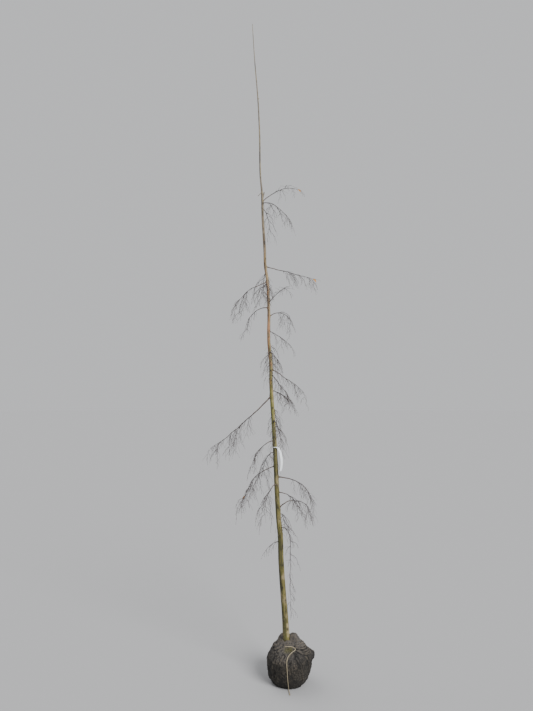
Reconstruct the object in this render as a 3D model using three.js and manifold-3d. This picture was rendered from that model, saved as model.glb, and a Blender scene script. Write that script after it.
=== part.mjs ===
// A bare weeping sapling that stands on its wrapped root ball, in millimetres and degrees, +Z up.
// The origin is the middle of the ball's flat underside. +X is to the right in the front view and
// -Y is towards the viewer.
import * as THREE from "three";
import { ParametricGeometry } from "three/addons/geometries/ParametricGeometry.js";
import { mergeVertices } from "three/addons/utils/BufferGeometryUtils.js";
import Module from "manifold-3d";

const wasm = await Module();
wasm.setup();

// Driving dimensions
const TREE_HEIGHT = 4810;
const BALL_HEIGHT = 262;
const SEAT_GAP = 0.3; // between pieces that touch
const TRUNK_LEAN = 2.87; // towards -X
const TRUNK_START_X = -13.5; // where the leaning line meets the level of the underside

// The trunk from foot to tip: height, thickness, drift off the leaning line in X and in Y
const TRUNK_STATIONS = [
  [BALL_HEIGHT + SEAT_GAP, 54, 12, 0],
  [310, 47, 12.5, 0],
  [430, 42, 12, 1],
  [560, 39.5, 8, 3],
  [800, 38, 4.5, 6],
  [950, 37, 8.5, 5.5],
  [1080, 35.5, 2, 5],
  [1300, 33.5, 0.5, 3],
  [1500, 31, 2, -2],
  [1750, 28.5, 0, -6],
  [2010, 26, -3, -8],
  [2170, 24.5, 3, -8],
  [2340, 23, -3, -6],
  [2540, 22, 8, -3],
  [2780, 21, 9.5, 2],
  [2890, 20.5, -1, 4],
  [3020, 20, 1.5, 5],
  [3240, 18.5, -1.5, 6],
  [3385, 17.5, 2, 4],
  [3460, 14, 2, 1],
  [3600, 11.5, -3, -2],
  [3900, 10.5, 7, -5],
  [4200, 9, 8, 2],
  [4500, 6.5, -1, 7],
  [4700, 4.8, -4, 3],
  [TREE_HEIGHT, 3, -5, 0],
];
const TRUNK_SIDES = 10;
const TRUNK_STEP = 110;
const FOOT_RINGS = [24, 62]; // further rings above the flat cut, where the trunk flares

// Short stubs on the trunk: height, direction seen from above, length, thickness, slope
const STUBS = [
  [3395, -12, 62, 12, 76],
  [3455, 190, 46, 5, -50],
  [4188, 20, 16, 5, 48],
];
const STUB_SIDES = 6;
const STUB_NARROWS = 0.3;

// The ball's side from its base edge to the level seat of the trunk: height, radius
const BALL_SIDE = [
  [0, 98],
  [7, 109],
  [26, 125],
  [68, 141],
  [120, 151],
  [165, 152],
  [197, 138],
  [224, 114],
  [246, 86],
  [BALL_HEIGHT, 56],
];
const BALL_AROUND = 28;
const BALL_ALONG = 16;

// Where the ball swells or falls in: direction, height, change of radius, width in degrees, tallness
const BALL_SWELLS = [
  [0, 187, 40, 22, 33],
  [180, 206, -29, 50, 45],
  [-62, 120, 7, 34, 60],
  [118, 96, 9, 45, 60],
  [-118, 60, -6, 30, 40],
  [52, 70, -7, 32, 50],
  [184, 118, -9, 60, 60],
  [-90, 6, -8, 70, 40],
  [4, 252, 36, 34, 24],
  [2, 112, 7, 26, 48],
];

// Gathered cloth round the trunk's foot: thickness and flatness of each ear, then its line of points
const EARS = [
  {
    thick: [104, 88, 64, 42, 16],
    flat: 0.8,
    line: [[52, 8, 200], [46, 6, 250], [39, 5, 282], [34, 4, 300], [32, 4, 309]],
  },
  {
    thick: [66, 52, 36, 14],
    flat: 0.7,
    line: [[-62, 8, 190], [-60, 4, 240], [-54, 2, 274], [-49, 0, 300]],
  },
];
const EAR_SIDES = 8;

// The main limbs from the top down: name, height on the trunk, direction seen from above (0 is right,
// 90 is away from the viewer), length, thickness, slope at the start and at the end, lateness of the
// bend, share that is bare bough, longest hanging twig, plumb length that follows the bend
const LIMBS = [
  ["top_right", 3381, 12, 326, 6.5, 45, -12, 1.6, 0.3, 110, 0],
  ["top_low", 3368, -35, 330, 5.5, 6, -68, 0.6, 0, 130, 0],
  ["top_back", 3320, 76, 300, 6, 28, -74, 1, 0.3, 130, 0],
  ["high_right", 2886, 20, 396, 7, -9, -8, 0.6, 0.3, 150, 0],
  ["high_back", 2834, 96, 340, 7, 22, -78, 1.2, 0.3, 170, 0],
  ["high_left", 2768, 200, 327, 7, -13, -50, 0.6, 0.3, 250, 0],
  ["high_front", 2700, -97, 320, 6.5, 26, -80, 1.2, 0.3, 170, 0],
  ["upper_spur", 2611, -50, 240, 5.5, 34, -3, 1.6, 0, 90, 0],
  ["upper_left", 2574, 150, 280, 6.5, 17, -97, 1, 0.35, 130, 0],
  ["upper_right", 2510, 40, 260, 6.5, 32, -78, 1.6, 0.3, 150, 0],
  ["middle_spur", 2406, -25, 196, 5, -26, -43, 1.6, 0, 120, 0],
  ["middle_back", 2318, 84, 330, 7, 12, -76, 1.1, 0.3, 180, 0],
  ["middle_front", 2246, -84, 300, 6.5, 10, -74, 1, 0.3, 170, 0],
  ["middle_right", 2128, 15, 304, 7, -24, -40, 0.6, 0.3, 160, 0],
  ["middle_low", 2097, -34, 276, 5.5, -46, -54, 0.6, 0, 150, 0],
  ["short_right", 1976, 50, 238, 6, -7, -34, 1, 0, 150, 0],
  ["main_left", 1936, 185, 568, 10, -46, -31, 1.6, 0.34, 230, 0],
  ["lower_back", 1835, 82, 350, 7.5, 10, -78, 1.1, 0.3, 190, 0],
  ["lower_front", 1752, -80, 320, 7, 8, -78, 1.1, 0.3, 180, 0],
  ["lower_left", 1618, 215, 230, 7, -3, -70, 1, 0.35, 170, 0],
  ["waist_back", 1528, 112, 350, 7.5, 5, -80, 1, 0.3, 200, 0],
  ["waist_left", 1441, 160, 380, 7, -14, -78, 1, 0.28, 240, 0],
  ["waist_right", 1367, -10, 330, 8.5, -6, -100, 2.2, 0.3, 200, 0],
  ["waist_front", 1312, -112, 310, 7, 4, -80, 1.1, 0.3, 190, 0],
  ["low_right", 1261, 35, 262, 6.5, -10, -88, 1.6, 0.3, 170, 0],
  ["low_arch", 1138, -20, 319, 8, 49, -108, 1.6, 0.4, 150, 0],
  ["low_back", 1092, 76, 290, 6.5, 16, -82, 1, 0.3, 170, 0],
  ["long_fall", 1003, -52, 160, 4.5, 58, -86, 0.8, 0, 90, 500],
  ["lowest_spur", 924, 200, 130, 4.5, 2, -58, 1, 0, 100, 0],
].map(([name, height, toward, length, thick, rises, ends, bends, bare, hangs, falls]) => {
  return { name, height, toward, length, thick, rises, ends, bends, bare, hangs, falls };
});

// How a limb thins out and how finely it is drawn
const TIP_THICK = 1.3;
const LIMB_TAPER = 0.8;
const FINE_STEPS = 96;
const BOUGH_SIDES = 6;
const BOUGH_STEP = 24;
const STEM_STEP = 38;
const TWIG_SIDES = 3; // of stems too
const STEM_COVER = 1.1; // a three-sided stem is a little wider, to hold the same wood
const JOINT_LOOK = 0.01; // share of a limb over which the slope of its joint is read

// How twigs stand on a stem
const TWIG_STEP = 48;
const TWIG_SPACING = 44;
const TWIG_SHARE = 0.62; // of its stem's thickness, at the root
const TWIG_MOST = 2.6;
const TWIG_COVER = 1.25;
const TWIG_TIP = 0.8; // of the limb's tip
const SIDE_SPACING = 90;
const SIDE_PLACES = { before: 0.7, after: -0.1 }; // spacings left free before the first and after the last
const SIDE_SHARE = 0.55; // of its twig's length
const SIDE_THICK = 0.75; // of its twig's thickness
const SIDE_SLOPE = -30;
const STEEPEST = -40; // twigs start no steeper than this, however steep the stem is
const SHORTEST_TWIG = 48;
const SEED = 20261;
const SEED_STEP = 97;
const FINEST = 0.05; // shape finer than this is smoothed out of a mass

// What the draws of a twig fall between: share of the longest length, slope against its stem, slope
// at the tip, lateness of the bend, and the turn aside from its limb or from its twig
const DRAWS = {
  share: [0.45, 1],
  tilt: [-12, 18],
  ends: [-74, -96],
  bends: [0.7, 1.2],
  aside: [30, 95],
  sideAside: [40, 100],
  place: [0.5, 0.8],
};

// The space that a mass keeps to
const SPACE_WIDTH = 95; // how far a twig may stray to the side of its stem
const LOWEST_TWIG = BALL_HEIGHT + 70;
const CLEARANCE = 3.5;
const SAMPLE_STEP = 6;
const TRUNK_SAMPLES = 640;

// The few leaves still held: limb, length, width, thickness, share along the limb, direction
const LEAVES = [
  ["top_right", 30, 18, 1, 0.985, -28],
  ["high_right", 34, 20, 1, 0.985, -20],
  ["waist_left", 26, 16, 1, 0.9, 200],
];
const LEAF_ROLL = 35;
const LEAF_DROOP = 50;
const LEAF_SUNK = 1; // into its stem

// The tag: a band round the trunk with a strip that bows out and hangs
const TAG_HEIGHT = 1572;
const TAG_TOWARD = -30;
const TAG_BAND = 4;
const TAG_THICK = 1;
const TAG_WIDTH = 31;
const TAG_BOW = [[26, -5], [56, -91], [30, -166]]; // its pulls and its end: out from the band, and up
const TAG_OUT = 52; // from the trunk's middle, in the room that twigs leave to it
const TAG_DROP = 166;
const TAG_PLAY = 0.75; // between the band and the bark
const TAG_STEPS = 14;
const TAG_SAMPLE = 20;

// The twine: its thickness and its way over the ball, as direction and share up the side
const TWINE_THICK = 4;
const TWINE_SIDES = 6;
const TWINE_STEPS = 34;
const TWINE_OFF = 1.2; // how far it lies off the smooth side
const FACING_LOOK = { around: 2, up: 0.02 }; // degrees and share over which the way out is read
const TWINE_ROUTE = [
  [-101, 0.95], [-86, 0.94], [-68, 0.935], [-57, 0.9], [-54, 0.865], [-62, 0.84], [-74, 0.815],
  [-85, 0.765], [-92, 0.7], [-94, 0.6], [-94, 0.5], [-94, 0.38], [-93, 0.26], [-92, 0.12],
];
const TWINE_TAIL = [[-3, -112, 5], [-2, -126, 2.4], [2, -163, 2.4]]; // on the ground in front

// How the geometry is made: corners this near are one, and a tube this level starts its sides from Y
const MERGE_NEAR = 0.001;
const LEVEL_ALONG_X = 0.9;
const TWIG_STEPS_LEAST = 3;
const STEM_STEPS_LEAST = 2;

// The numbers of the seeded source of draws
const DRAW_TIMES = 1664525;
const DRAW_PLUS = 1013904223;
const DRAW_RANGE = 2 ** 32;

const turn = THREE.MathUtils.degToRad;

function between([low, high], draw) {
  return low + (high - low) * draw;
}

// A seeded source of even numbers from 0 to 1
function drawsFrom(seed) {
  let state = seed >>> 0;
  return () => {
    state = (Math.imul(state, DRAW_TIMES) + DRAW_PLUS) >>> 0;
    return state / DRAW_RANGE;
  };
}

// The row that lies smoothly between the rows of a table, at a place counted in rows
function smoothRow(rows, place) {
  const first = Math.min(Math.max(Math.floor(place), 0), rows.length - 2);
  const t = place - first;
  const [a, b, c, d] = [-1, 0, 1, 2].map((k) => rows[Math.min(Math.max(first + k, 0), rows.length - 1)]);
  return b.map((_, i) => {
    const slope = c[i] - a[i];
    const curve = 2 * a[i] - 5 * b[i] + 4 * c[i] - d[i];
    const twist = 3 * (b[i] - c[i]) + d[i] - a[i];
    return b[i] + 0.5 * t * (slope + t * (curve + t * twist));
  });
}

// The trunk's middle and thickness at a height
function trunkAt(height) {
  const upper = Math.max(1, TRUNK_STATIONS.findIndex((row) => row[0] >= height));
  const [low, high] = [TRUNK_STATIONS[upper - 1][0], TRUNK_STATIONS[upper][0]];
  const [, thick, driftX, driftY] = smoothRow(TRUNK_STATIONS, upper - 1 + (height - low) / (high - low));
  const x = TRUNK_START_X - height * Math.tan(turn(TRUNK_LEAN)) + driftX;
  return { middle: new THREE.Vector3(x, driftY, height), thick };
}

// A unit step towards a direction seen from above, up or down a slope
function heading(toward, slope) {
  const flat = Math.cos(turn(slope));
  return new THREE.Vector3(
    flat * Math.cos(turn(toward)),
    flat * Math.sin(turn(toward)),
    Math.sin(turn(slope)),
  );
}

// The line of an arching limb: it leaves at one slope and bends steadily to another
function archLine(start, { toward, length, rises, ends, bends }, steps) {
  const line = [start.clone()];
  for (let i = 0; i < steps; i += 1) {
    const slope = rises + (ends - rises) * ((i + 0.5) / steps) ** bends;
    line.push(line[i].clone().addScaledVector(heading(toward, slope), length / steps));
  }
  return line;
}

// The point at a share of the way along a line of even steps
function alongLine(line, share) {
  const place = share * (line.length - 1);
  const first = Math.min(Math.floor(place), line.length - 2);
  return line[first].clone().lerp(line[first + 1], place - first);
}

// A limb's whole line in fine steps, with the plumb length that follows its bend
function limbLine(limb) {
  const bend = archLine(trunkAt(limb.height).middle, limb, FINE_STEPS);
  const whole = limb.length + limb.falls;
  const fall = new THREE.Vector3(0, 0, -1);
  return Array.from({ length: FINE_STEPS + 1 }, (_, i) => {
    const gone = (whole * i) / FINE_STEPS;
    const last = bend[FINE_STEPS].clone();
    return gone <= limb.length
      ? alongLine(bend, gone / limb.length)
      : last.addScaledVector(fall, gone - limb.length);
  });
}

function limbThick(limb, share) {
  return TIP_THICK + (limb.thick - TIP_THICK) * (1 - share) ** LIMB_TAPER;
}

// The part of a line between two shares, in even steps of about the given length
function stretch(line, whole, from, to, step) {
  const steps = Math.max(STEM_STEPS_LEAST, Math.round(((to - from) * whole) / step));
  return Array.from({ length: steps + 1 }, (_, i) => alongLine(line, from + ((to - from) * i) / steps));
}

// A closed tube round a line of points. thickAt gives its thickness at a share of the way. A level
// tube keeps its rings flat, so that its ends are level cuts. first and last say which way an end is cut.
function tube(line, thickAt, sides, { level = false, flat = 1, first, last } = {}) {
  const steps = line.length - 1;
  const geometry = new THREE.CylinderGeometry(1, 1, 1, sides, steps);
  const ahead = line.map((p, i) =>
    line[Math.min(i + 1, steps)].clone().sub(line[Math.max(i - 1, 0)]).normalize(),
  );
  if (first) ahead[0] = first;
  if (last) ahead[steps] = last;
  let across = new THREE.Vector3(1, 0, 0);
  if (!level && Math.abs(ahead[0].x) > LEVEL_ALONG_X) across.set(0, 1, 0);
  const frames = ahead.map((along) => {
    if (level) return [new THREE.Vector3(1, 0, 0), new THREE.Vector3(0, -1, 0)];
    across = across.clone().addScaledVector(along, -across.dot(along)).normalize();
    return [across, across.clone().cross(along)];
  });
  const place = geometry.attributes.position;
  for (let i = 0; i < place.count; i += 1) {
    const step = Math.round((place.getY(i) + 0.5) * steps);
    const radius = thickAt(step / steps) / 2;
    const [one, other] = frames[step];
    const point = line[step].clone();
    point.addScaledVector(one, place.getX(i) * radius);
    point.addScaledVector(other, -place.getZ(i) * radius * flat);
    place.setXYZ(i, point.x, point.y, point.z);
  }
  return geometry;
}

// A geometry as a solid, turned the right way out
function solidOf(geometry) {
  const bare = geometry.clone();
  bare.deleteAttribute("normal");
  bare.deleteAttribute("uv");
  const merged = mergeVertices(bare, MERGE_NEAR);
  const triVerts = new Uint32Array(merged.index.array);
  const vertProperties = merged.attributes.position.array;
  const made = new wasm.Manifold(new wasm.Mesh({ numProp: 3, vertProperties, triVerts }));
  if (made.volume() > 0) return made;
  triVerts.reverse();
  return new wasm.Manifold(new wasm.Mesh({ numProp: 3, vertProperties, triVerts }));
}

function joined(solids) {
  return solids.reduce((all, next) => all.add(next));
}

// A solid as a named mesh of the given material
function meshOf(name, solid, material) {
  const { numProp, numVert, vertProperties, triVerts } = solid.getMesh();
  const position = new Float32Array(numVert * 3);
  for (let i = 0; i < numVert; i += 1) {
    position.set(vertProperties.subarray(i * numProp, i * numProp + 3), i * 3);
  }
  const geometry = new THREE.BufferGeometry();
  geometry.setAttribute("position", new THREE.BufferAttribute(position, 3));
  geometry.setIndex(new THREE.BufferAttribute(triVerts, 1));
  geometry.computeVertexNormals();
  const mesh = new THREE.Mesh(geometry, material);
  mesh.name = name;
  return mesh;
}

function finish(color, roughness) {
  return new THREE.MeshStandardMaterial({ color, roughness, metalness: 0 });
}

const FINISHES = {
  bark: finish(0x7a6e45, 0.8),
  twig: finish(0x4a3c33, 0.8),
  hessian: finish(0x453d38, 0.95),
  tag: finish(0xe9ecec, 0.5),
  twine: finish(0xb3a587, 0.9),
};

// The trunk, or a slightly fatter copy of it that cuts a clear seat in what meets it
function trunkSolid(grow) {
  const [foot, tip] = [TRUNK_STATIONS[0][0], TREE_HEIGHT];
  const steps = Math.round((tip - foot) / TRUNK_STEP);
  const even = Array.from({ length: steps }, (_, i) => foot + ((i + 1) * (tip - foot)) / steps);
  const heights = [foot, ...FOOT_RINGS.map((above) => foot + above), ...even];
  const line = heights.map((height) => trunkAt(height).middle);
  const ringThick = (share) => trunkAt(heights[Math.round(share * (heights.length - 1))]).thick + 2 * grow;
  const bole = solidOf(tube(line, ringThick, TRUNK_SIDES, { level: true }));
  const stubs = STUBS.map(([height, toward, length, thick, slope]) => {
    const start = trunkAt(height).middle;
    const end = start.clone().addScaledVector(heading(toward, slope), length);
    const thickAt = (share) => thick * (1 - STUB_NARROWS * share) + 2 * grow;
    return solidOf(tube([start, end], thickAt, STUB_SIDES));
  });
  return joined([bole, ...stubs]);
}

// The turn from one direction to another, between -180 and 180
function turnBetween(from, to) {
  return ((((to - from + 180) % 360) + 360) % 360) - 180;
}

// A point on the wrapped ball's side
function ballPoint(toward, share) {
  const [height, radius] = smoothRow(BALL_SIDE, share * (BALL_SIDE.length - 1));
  const swell = BALL_SWELLS.reduce((sum, [at, high, change, wide, tall]) => {
    const aside = turnBetween(at, toward) / wide;
    const above = (height - high) / tall;
    return sum + change * Math.exp(-aside * aside - above * above);
  }, 0);
  const reach = radius + swell;
  const slide = trunkAt(BALL_HEIGHT + SEAT_GAP).middle.x * (height / BALL_HEIGHT) ** 2;
  return new THREE.Vector3(
    slide + reach * Math.cos(turn(toward)),
    reach * Math.sin(turn(toward)),
    height,
  );
}

// A point that stands off the ball's side by the given distance
function offBall(toward, share, distance) {
  const { around: aside, up } = FACING_LOOK;
  const around = ballPoint(toward + aside, share).sub(ballPoint(toward - aside, share));
  const upward = ballPoint(toward, share + up).sub(ballPoint(toward, share - up));
  return ballPoint(toward, share).addScaledVector(around.cross(upward).normalize(), distance);
}

function ballSolid() {
  const top = ballPoint(0, 1).z;
  const skin = new ParametricGeometry(
    (u, v, point) => {
      const row = Math.round(v * BALL_ALONG);
      if (row === 0) point.set(0, 0, 0);
      else if (row === BALL_ALONG) point.set(trunkAt(BALL_HEIGHT + SEAT_GAP).middle.x, 0, top);
      else point.copy(ballPoint(360 * u, (row - 1) / (BALL_ALONG - 2)));
    },
    BALL_AROUND,
    BALL_ALONG,
  );
  const ears = EARS.map(({ thick, flat, line }) => {
    const thickAt = (share) => thick[Math.round(share * (thick.length - 1))];
    return solidOf(tube(line.map((p) => new THREE.Vector3(...p)), thickAt, EAR_SIDES, { flat }));
  });
  return joined([solidOf(skin), ...ears]).subtract(seat).subtract(twineSolid(SEAT_GAP));
}

// Points that limbs and twigs already take up, each with its owner and radius
const taken = [];

function take(owner, line, radiusAt) {
  line.forEach((point, i) => taken.push({ owner, point, radius: radiusAt(i / (line.length - 1)) }));
}

// True when a twig's line keeps clear of all that other pieces take up, of the ball and of the edge
// of its own mass's space
function hasRoom(owner, stem, line, radius) {
  const near = (a, b) => Math.hypot(a.x - b.x, a.y - b.y) <= SPACE_WIDTH;
  return line.every(
    (point) =>
      point.z > LOWEST_TWIG &&
      stem.line.some((other) => near(point, other)) &&
      taken.every(
        (t) => t.owner === owner || t.point.distanceTo(point) > t.radius + radius + CLEARANCE,
      ),
  );
}

// The points of a line of straight steps, a few millimetres apart
function sampled(line) {
  return line.slice(1).flatMap((end, i) => {
    const parts = Math.ceil(line[i].distanceTo(end) / SAMPLE_STEP);
    return Array.from({ length: parts }, (_, k) => line[i].clone().lerp(end, (k + 1) / parts));
  });
}

// One twig that starts on a line and arches over until it hangs, and the draws that shape it
function drawTwig(random, start, toward, slope, longest) {
  const length = longest * between(DRAWS.share, random());
  const shape = {
    toward,
    length,
    rises: slope + between(DRAWS.tilt, random()),
    ends: between(DRAWS.ends, random()),
    bends: between(DRAWS.bends, random()),
  };
  const steps = Math.max(TWIG_STEPS_LEAST, Math.round(length / TWIG_STEP));
  return { length, line: archLine(start, shape, steps) };
}

// All the twigs of one mass: along its stem in turn to the left and right, and on each longer twig
function twigsOf(stem, random) {
  const { limb } = stem;
  const owner = "twigs_" + limb.name;
  const whole = limb.length + limb.falls;
  const count = Math.round(((1 - limb.bare) * whole) / TWIG_SPACING);
  const twigs = [];
  const keep = (twig, thick) => {
    const line = sampled(twig.line);
    if (twig.length < SHORTEST_TWIG || !hasRoom(owner, stem, line, thick / 2)) return false;
    take(owner, line, () => thick / 2);
    twigs.push({ line: twig.line, thick });
    return true;
  };
  for (let i = 0; i < count; i += 1) {
    const onward = (i + between(DRAWS.place, random())) / count;
    const share = stem.joint + (1 - stem.joint) * onward;
    const start = alongLine(stem.line, onward);
    const side = i % 2 ? 1 : -1;
    const toward = limb.toward + side * between(DRAWS.aside, random());
    const slope = limb.rises + (limb.ends - limb.rises) * share ** limb.bends;
    const thick = Math.min(TWIG_MOST, TWIG_SHARE * limbThick(limb, share));
    const twig = drawTwig(random, start, toward, Math.max(slope, STEEPEST), limb.hangs);
    if (!keep(twig, thick)) continue;
    const sides = Math.floor(twig.length / SIDE_SPACING);
    for (let k = 0; k < sides; k += 1) {
      const spacings = sides + SIDE_PLACES.before + SIDE_PLACES.after;
      const root = alongLine(twig.line, (k + SIDE_PLACES.before) / spacings);
      const aside = toward + (k % 2 ? 1 : -1) * between(DRAWS.sideAside, random());
      const branch = drawTwig(random, root, aside, SIDE_SLOPE, twig.length * SIDE_SHARE);
      keep(branch, thick * SIDE_THICK);
    }
  }
  return twigs;
}

function twigSolid({ line, thick }) {
  const thickAt = (share) => TWIG_COVER * between([thick, TIP_THICK * TWIG_TIP], share);
  return solidOf(tube(line, thickAt, TWIG_SIDES));
}

function leafSolid(stem, [, length, width, thick, share, toward]) {
  const root = alongLine(stem.line, (share - stem.joint) / (1 - stem.joint));
  const blade = new THREE.OctahedronGeometry(1);
  blade.scale(length / 2, width / 2, thick / 2);
  blade.translate(length / 2 - LEAF_SUNK, 0, 0);
  blade.rotateX(turn(LEAF_ROLL));
  blade.rotateY(turn(LEAF_DROOP));
  blade.rotateZ(turn(toward));
  blade.translate(root.x, root.y, root.z);
  return solidOf(blade);
}

// A band round the trunk and a strip that bows out from it and hangs down
function tagSolid() {
  const { middle, thick } = trunkAt(TAG_HEIGHT);
  const inner = thick / 2 + TAG_PLAY;
  const ring = new THREE.Shape().absarc(0, 0, inner + TAG_THICK, 0, 2 * Math.PI);
  ring.holes.push(new THREE.Path().absarc(0, 0, inner, 0, 2 * Math.PI, true));
  const band = new THREE.ExtrudeGeometry(ring, { depth: TAG_BAND, bevelEnabled: false });
  band.translate(0, 0, -TAG_BAND / 2);
  const bow = new THREE.CubicBezierCurve(
    new THREE.Vector2(inner + TAG_THICK / 2, 0),
    ...TAG_BOW.map(([out, up]) => new THREE.Vector2(inner + out, up)),
  );
  const points = bow.getSpacedPoints(TAG_STEPS);
  const edges = [1, -1].map((sign) =>
    points.map((p, i) => {
      const ahead = bow.getTangentAt(i / TAG_STEPS);
      const off = (sign * TAG_THICK) / 2;
      return new THREE.Vector2(p.x - off * ahead.y, p.y + off * ahead.x);
    }),
  );
  const strip = new THREE.ExtrudeGeometry(new THREE.Shape([...edges[0], ...edges[1].reverse()]), {
    depth: TAG_WIDTH,
    bevelEnabled: false,
  });
  strip.translate(0, 0, -TAG_WIDTH / 2);
  strip.rotateX(Math.PI / 2);
  const made = [band, strip].map((geometry) => {
    geometry.rotateZ(turn(TAG_TOWARD));
    geometry.translate(middle.x, middle.y, middle.z);
    return solidOf(geometry);
  });
  return joined(made).subtract(seat);
}

// The twine, or a slightly fatter copy of it that presses its own bed into the ball
function twineSolid(grow) {
  const held = TWINE_ROUTE.map(([toward, share]) => offBall(toward, share, TWINE_THICK / 2 + TWINE_OFF));
  const course = new THREE.CatmullRomCurve3([...held, ...TWINE_TAIL.map((p) => new THREE.Vector3(...p))]);
  return solidOf(tube(course.getSpacedPoints(TWINE_STEPS), () => TWINE_THICK + 2 * grow, TWINE_SIDES));
}

const seat = trunkSolid(SEAT_GAP);
const tree = new THREE.Group();

function addPiece(name, solid, material) {
  tree.add(meshOf(name, solid, material));
}

addPiece("root_ball", ballSolid(), FINISHES.hessian);
addPiece("twine", twineSolid(0), FINISHES.twine);
addPiece("trunk", trunkSolid(0), FINISHES.bark);
addPiece("tag", tagSolid(), FINISHES.tag);

// What the trunk, the tag, the boughs and the stems take up, before any twig grows
for (let i = 0; i < TRUNK_SAMPLES; i += 1) {
  const height = between([BALL_HEIGHT + SEAT_GAP, TREE_HEIGHT], i / (TRUNK_SAMPLES - 1));
  const { middle, thick } = trunkAt(height);
  taken.push({ owner: "trunk", point: middle, radius: thick / 2 });
}
const tagTop = trunkAt(TAG_HEIGHT).middle;
for (let drop = 0; drop <= TAG_DROP; drop += TAG_SAMPLE) {
  const point = tagTop.clone().addScaledVector(heading(TAG_TOWARD, 0), TAG_OUT);
  point.z -= drop;
  taken.push({ owner: "tag", point, radius: TAG_WIDTH / 2 });
}
const stems = LIMBS.map((limb) => {
  const whole = limbLine(limb);
  const length = limb.length + limb.falls;
  const joint = limb.bare + (limb.bare ? SEAT_GAP / length : 0);
  const bough = limb.bare ? stretch(whole, length, 0, limb.bare, BOUGH_STEP) : [];
  const line = stretch(whole, length, joint, 1, STEM_STEP);
  whole.forEach((point, i) => {
    const share = i / FINE_STEPS;
    if (share * length <= trunkAt(limb.height).thick) return;
    const owner = (share <= limb.bare ? "bough_" : "twigs_") + limb.name;
    taken.push({ owner, point, radius: limbThick(limb, share) / 2 });
  });
  const before = alongLine(whole, Math.max(0, limb.bare - JOINT_LOOK));
  const cut = alongLine(whole, limb.bare + JOINT_LOOK).sub(before).normalize();
  return { limb, joint, bough, line, cut };
});

// The boughs and the masses of twigs
stems.forEach((stem, number) => {
  const { limb, joint, bough, line, cut } = stem;
  if (limb.bare) {
    const boughThick = (share) => limbThick(limb, share * limb.bare);
    const limbSolid = solidOf(tube(bough, boughThick, BOUGH_SIDES, { last: cut }));
    addPiece("bough_" + limb.name, limbSolid.subtract(seat), FINISHES.twig);
  }
  const stemThick = (share) => STEM_COVER * limbThick(limb, between([joint, 1], share));
  const main = solidOf(tube(line, stemThick, TWIG_SIDES, { first: cut }));
  const twigs = twigsOf(stem, drawsFrom(SEED + SEED_STEP * number)).map(twigSolid);
  const leaves = LEAVES.filter((leaf) => leaf[0] === limb.name).map((leaf) => leafSolid(stem, leaf));
  const mass = joined([main, ...twigs, ...leaves]).simplify(FINEST);
  addPiece("twigs_" + limb.name, limb.bare ? mass : mass.subtract(seat), FINISHES.twig);
});

export default tree;
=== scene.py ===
"""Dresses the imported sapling: bark, knots and collars, fine twigs with buds, wrapped ball, twine and tag."""

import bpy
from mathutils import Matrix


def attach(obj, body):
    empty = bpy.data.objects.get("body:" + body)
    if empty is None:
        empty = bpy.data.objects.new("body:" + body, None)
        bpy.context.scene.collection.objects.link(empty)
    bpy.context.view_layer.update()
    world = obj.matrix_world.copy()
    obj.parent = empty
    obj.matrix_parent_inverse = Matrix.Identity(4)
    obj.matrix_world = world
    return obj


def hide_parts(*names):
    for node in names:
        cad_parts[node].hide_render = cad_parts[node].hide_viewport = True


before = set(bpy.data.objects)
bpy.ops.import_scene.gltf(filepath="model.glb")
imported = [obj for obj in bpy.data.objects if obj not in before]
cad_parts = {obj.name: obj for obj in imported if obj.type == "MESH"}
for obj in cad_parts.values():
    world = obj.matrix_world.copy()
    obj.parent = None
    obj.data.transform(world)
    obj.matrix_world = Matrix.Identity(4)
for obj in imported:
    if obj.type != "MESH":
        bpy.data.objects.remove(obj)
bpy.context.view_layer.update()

import functools
import math

import bpy
import numpy as np
from bpy.props import FloatProperty, FloatVectorProperty, IntProperty, PointerProperty
from bpy.types import Operator, Panel, PropertyGroup
from mathutils import Matrix, Vector, noise

bl_info = {
    "name": "Sapling with Root Ball",
    "version": (1, 0, 0),
    "blender": (4, 5, 0),
    "location": "3D View > Sidebar > Sapling",
    "description": "Builds the bark, twigs, wrapped ball, twine and tag of a bare weeping sapling",
    "category": "Add Mesh",
}

MM = 0.001

# How close two corners are that are merged, in metres
MERGE_TUBES = 1e-6
MERGE_BALL = 1e-5

# The tree and its ball in millimetres, the gap where two solids meet, and the trunk's lean in degrees
TREE_HEIGHT = 4810
BALL_HEIGHT = 262
SEAT_GAP = 0.3
TRUNK_FOOT = BALL_HEIGHT + SEAT_GAP
TRUNK_LEAN = 2.87
TRUNK_START_X = -13.5

# The trunk from foot to tip: height, thickness, drift off the leaning line in X and in Y
TRUNK_STATIONS = np.array([
    (TRUNK_FOOT, 54, 12, 0),
    (310, 47, 12.5, 0),
    (430, 42, 12, 1),
    (560, 39.5, 8, 3),
    (800, 38, 4.5, 6),
    (950, 37, 8.5, 5.5),
    (1080, 35.5, 2, 5),
    (1300, 33.5, 0.5, 3),
    (1500, 31, 2, -2),
    (1750, 28.5, 0, -6),
    (2010, 26, -3, -8),
    (2170, 24.5, 3, -8),
    (2340, 23, -3, -6),
    (2540, 22, 8, -3),
    (2780, 21, 9.5, 2),
    (2890, 20.5, -1, 4),
    (3020, 20, 1.5, 5),
    (3240, 18.5, -1.5, 6),
    (3385, 17.5, 2, 4),
    (3460, 14, 2, 1),
    (3600, 11.5, -3, -2),
    (3900, 10.5, 7, -5),
    (4200, 9, 8, 2),
    (4500, 6.5, -1, 7),
    (4700, 4.8, -4, 3),
    (TREE_HEIGHT, 3, -5, 0),
])

# How the trunk is drawn: sides of its rings, times that they are subdivided, wave, stretch and layers of
# the bark's unevenness, the radius from which that and the relief are full, and the share of the radius
# where a ring's side begins
TRUNK_SIDES = 14
TRUNK_LEVELS = 2
BARK_WAVE = 26
BARK_STRETCH = (1, 1, 4)
BARK_OCTAVES = 3
BARK_FULL = 12
RELIEF_FULL = 9
SIDE_STARTS = 0.8

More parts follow.
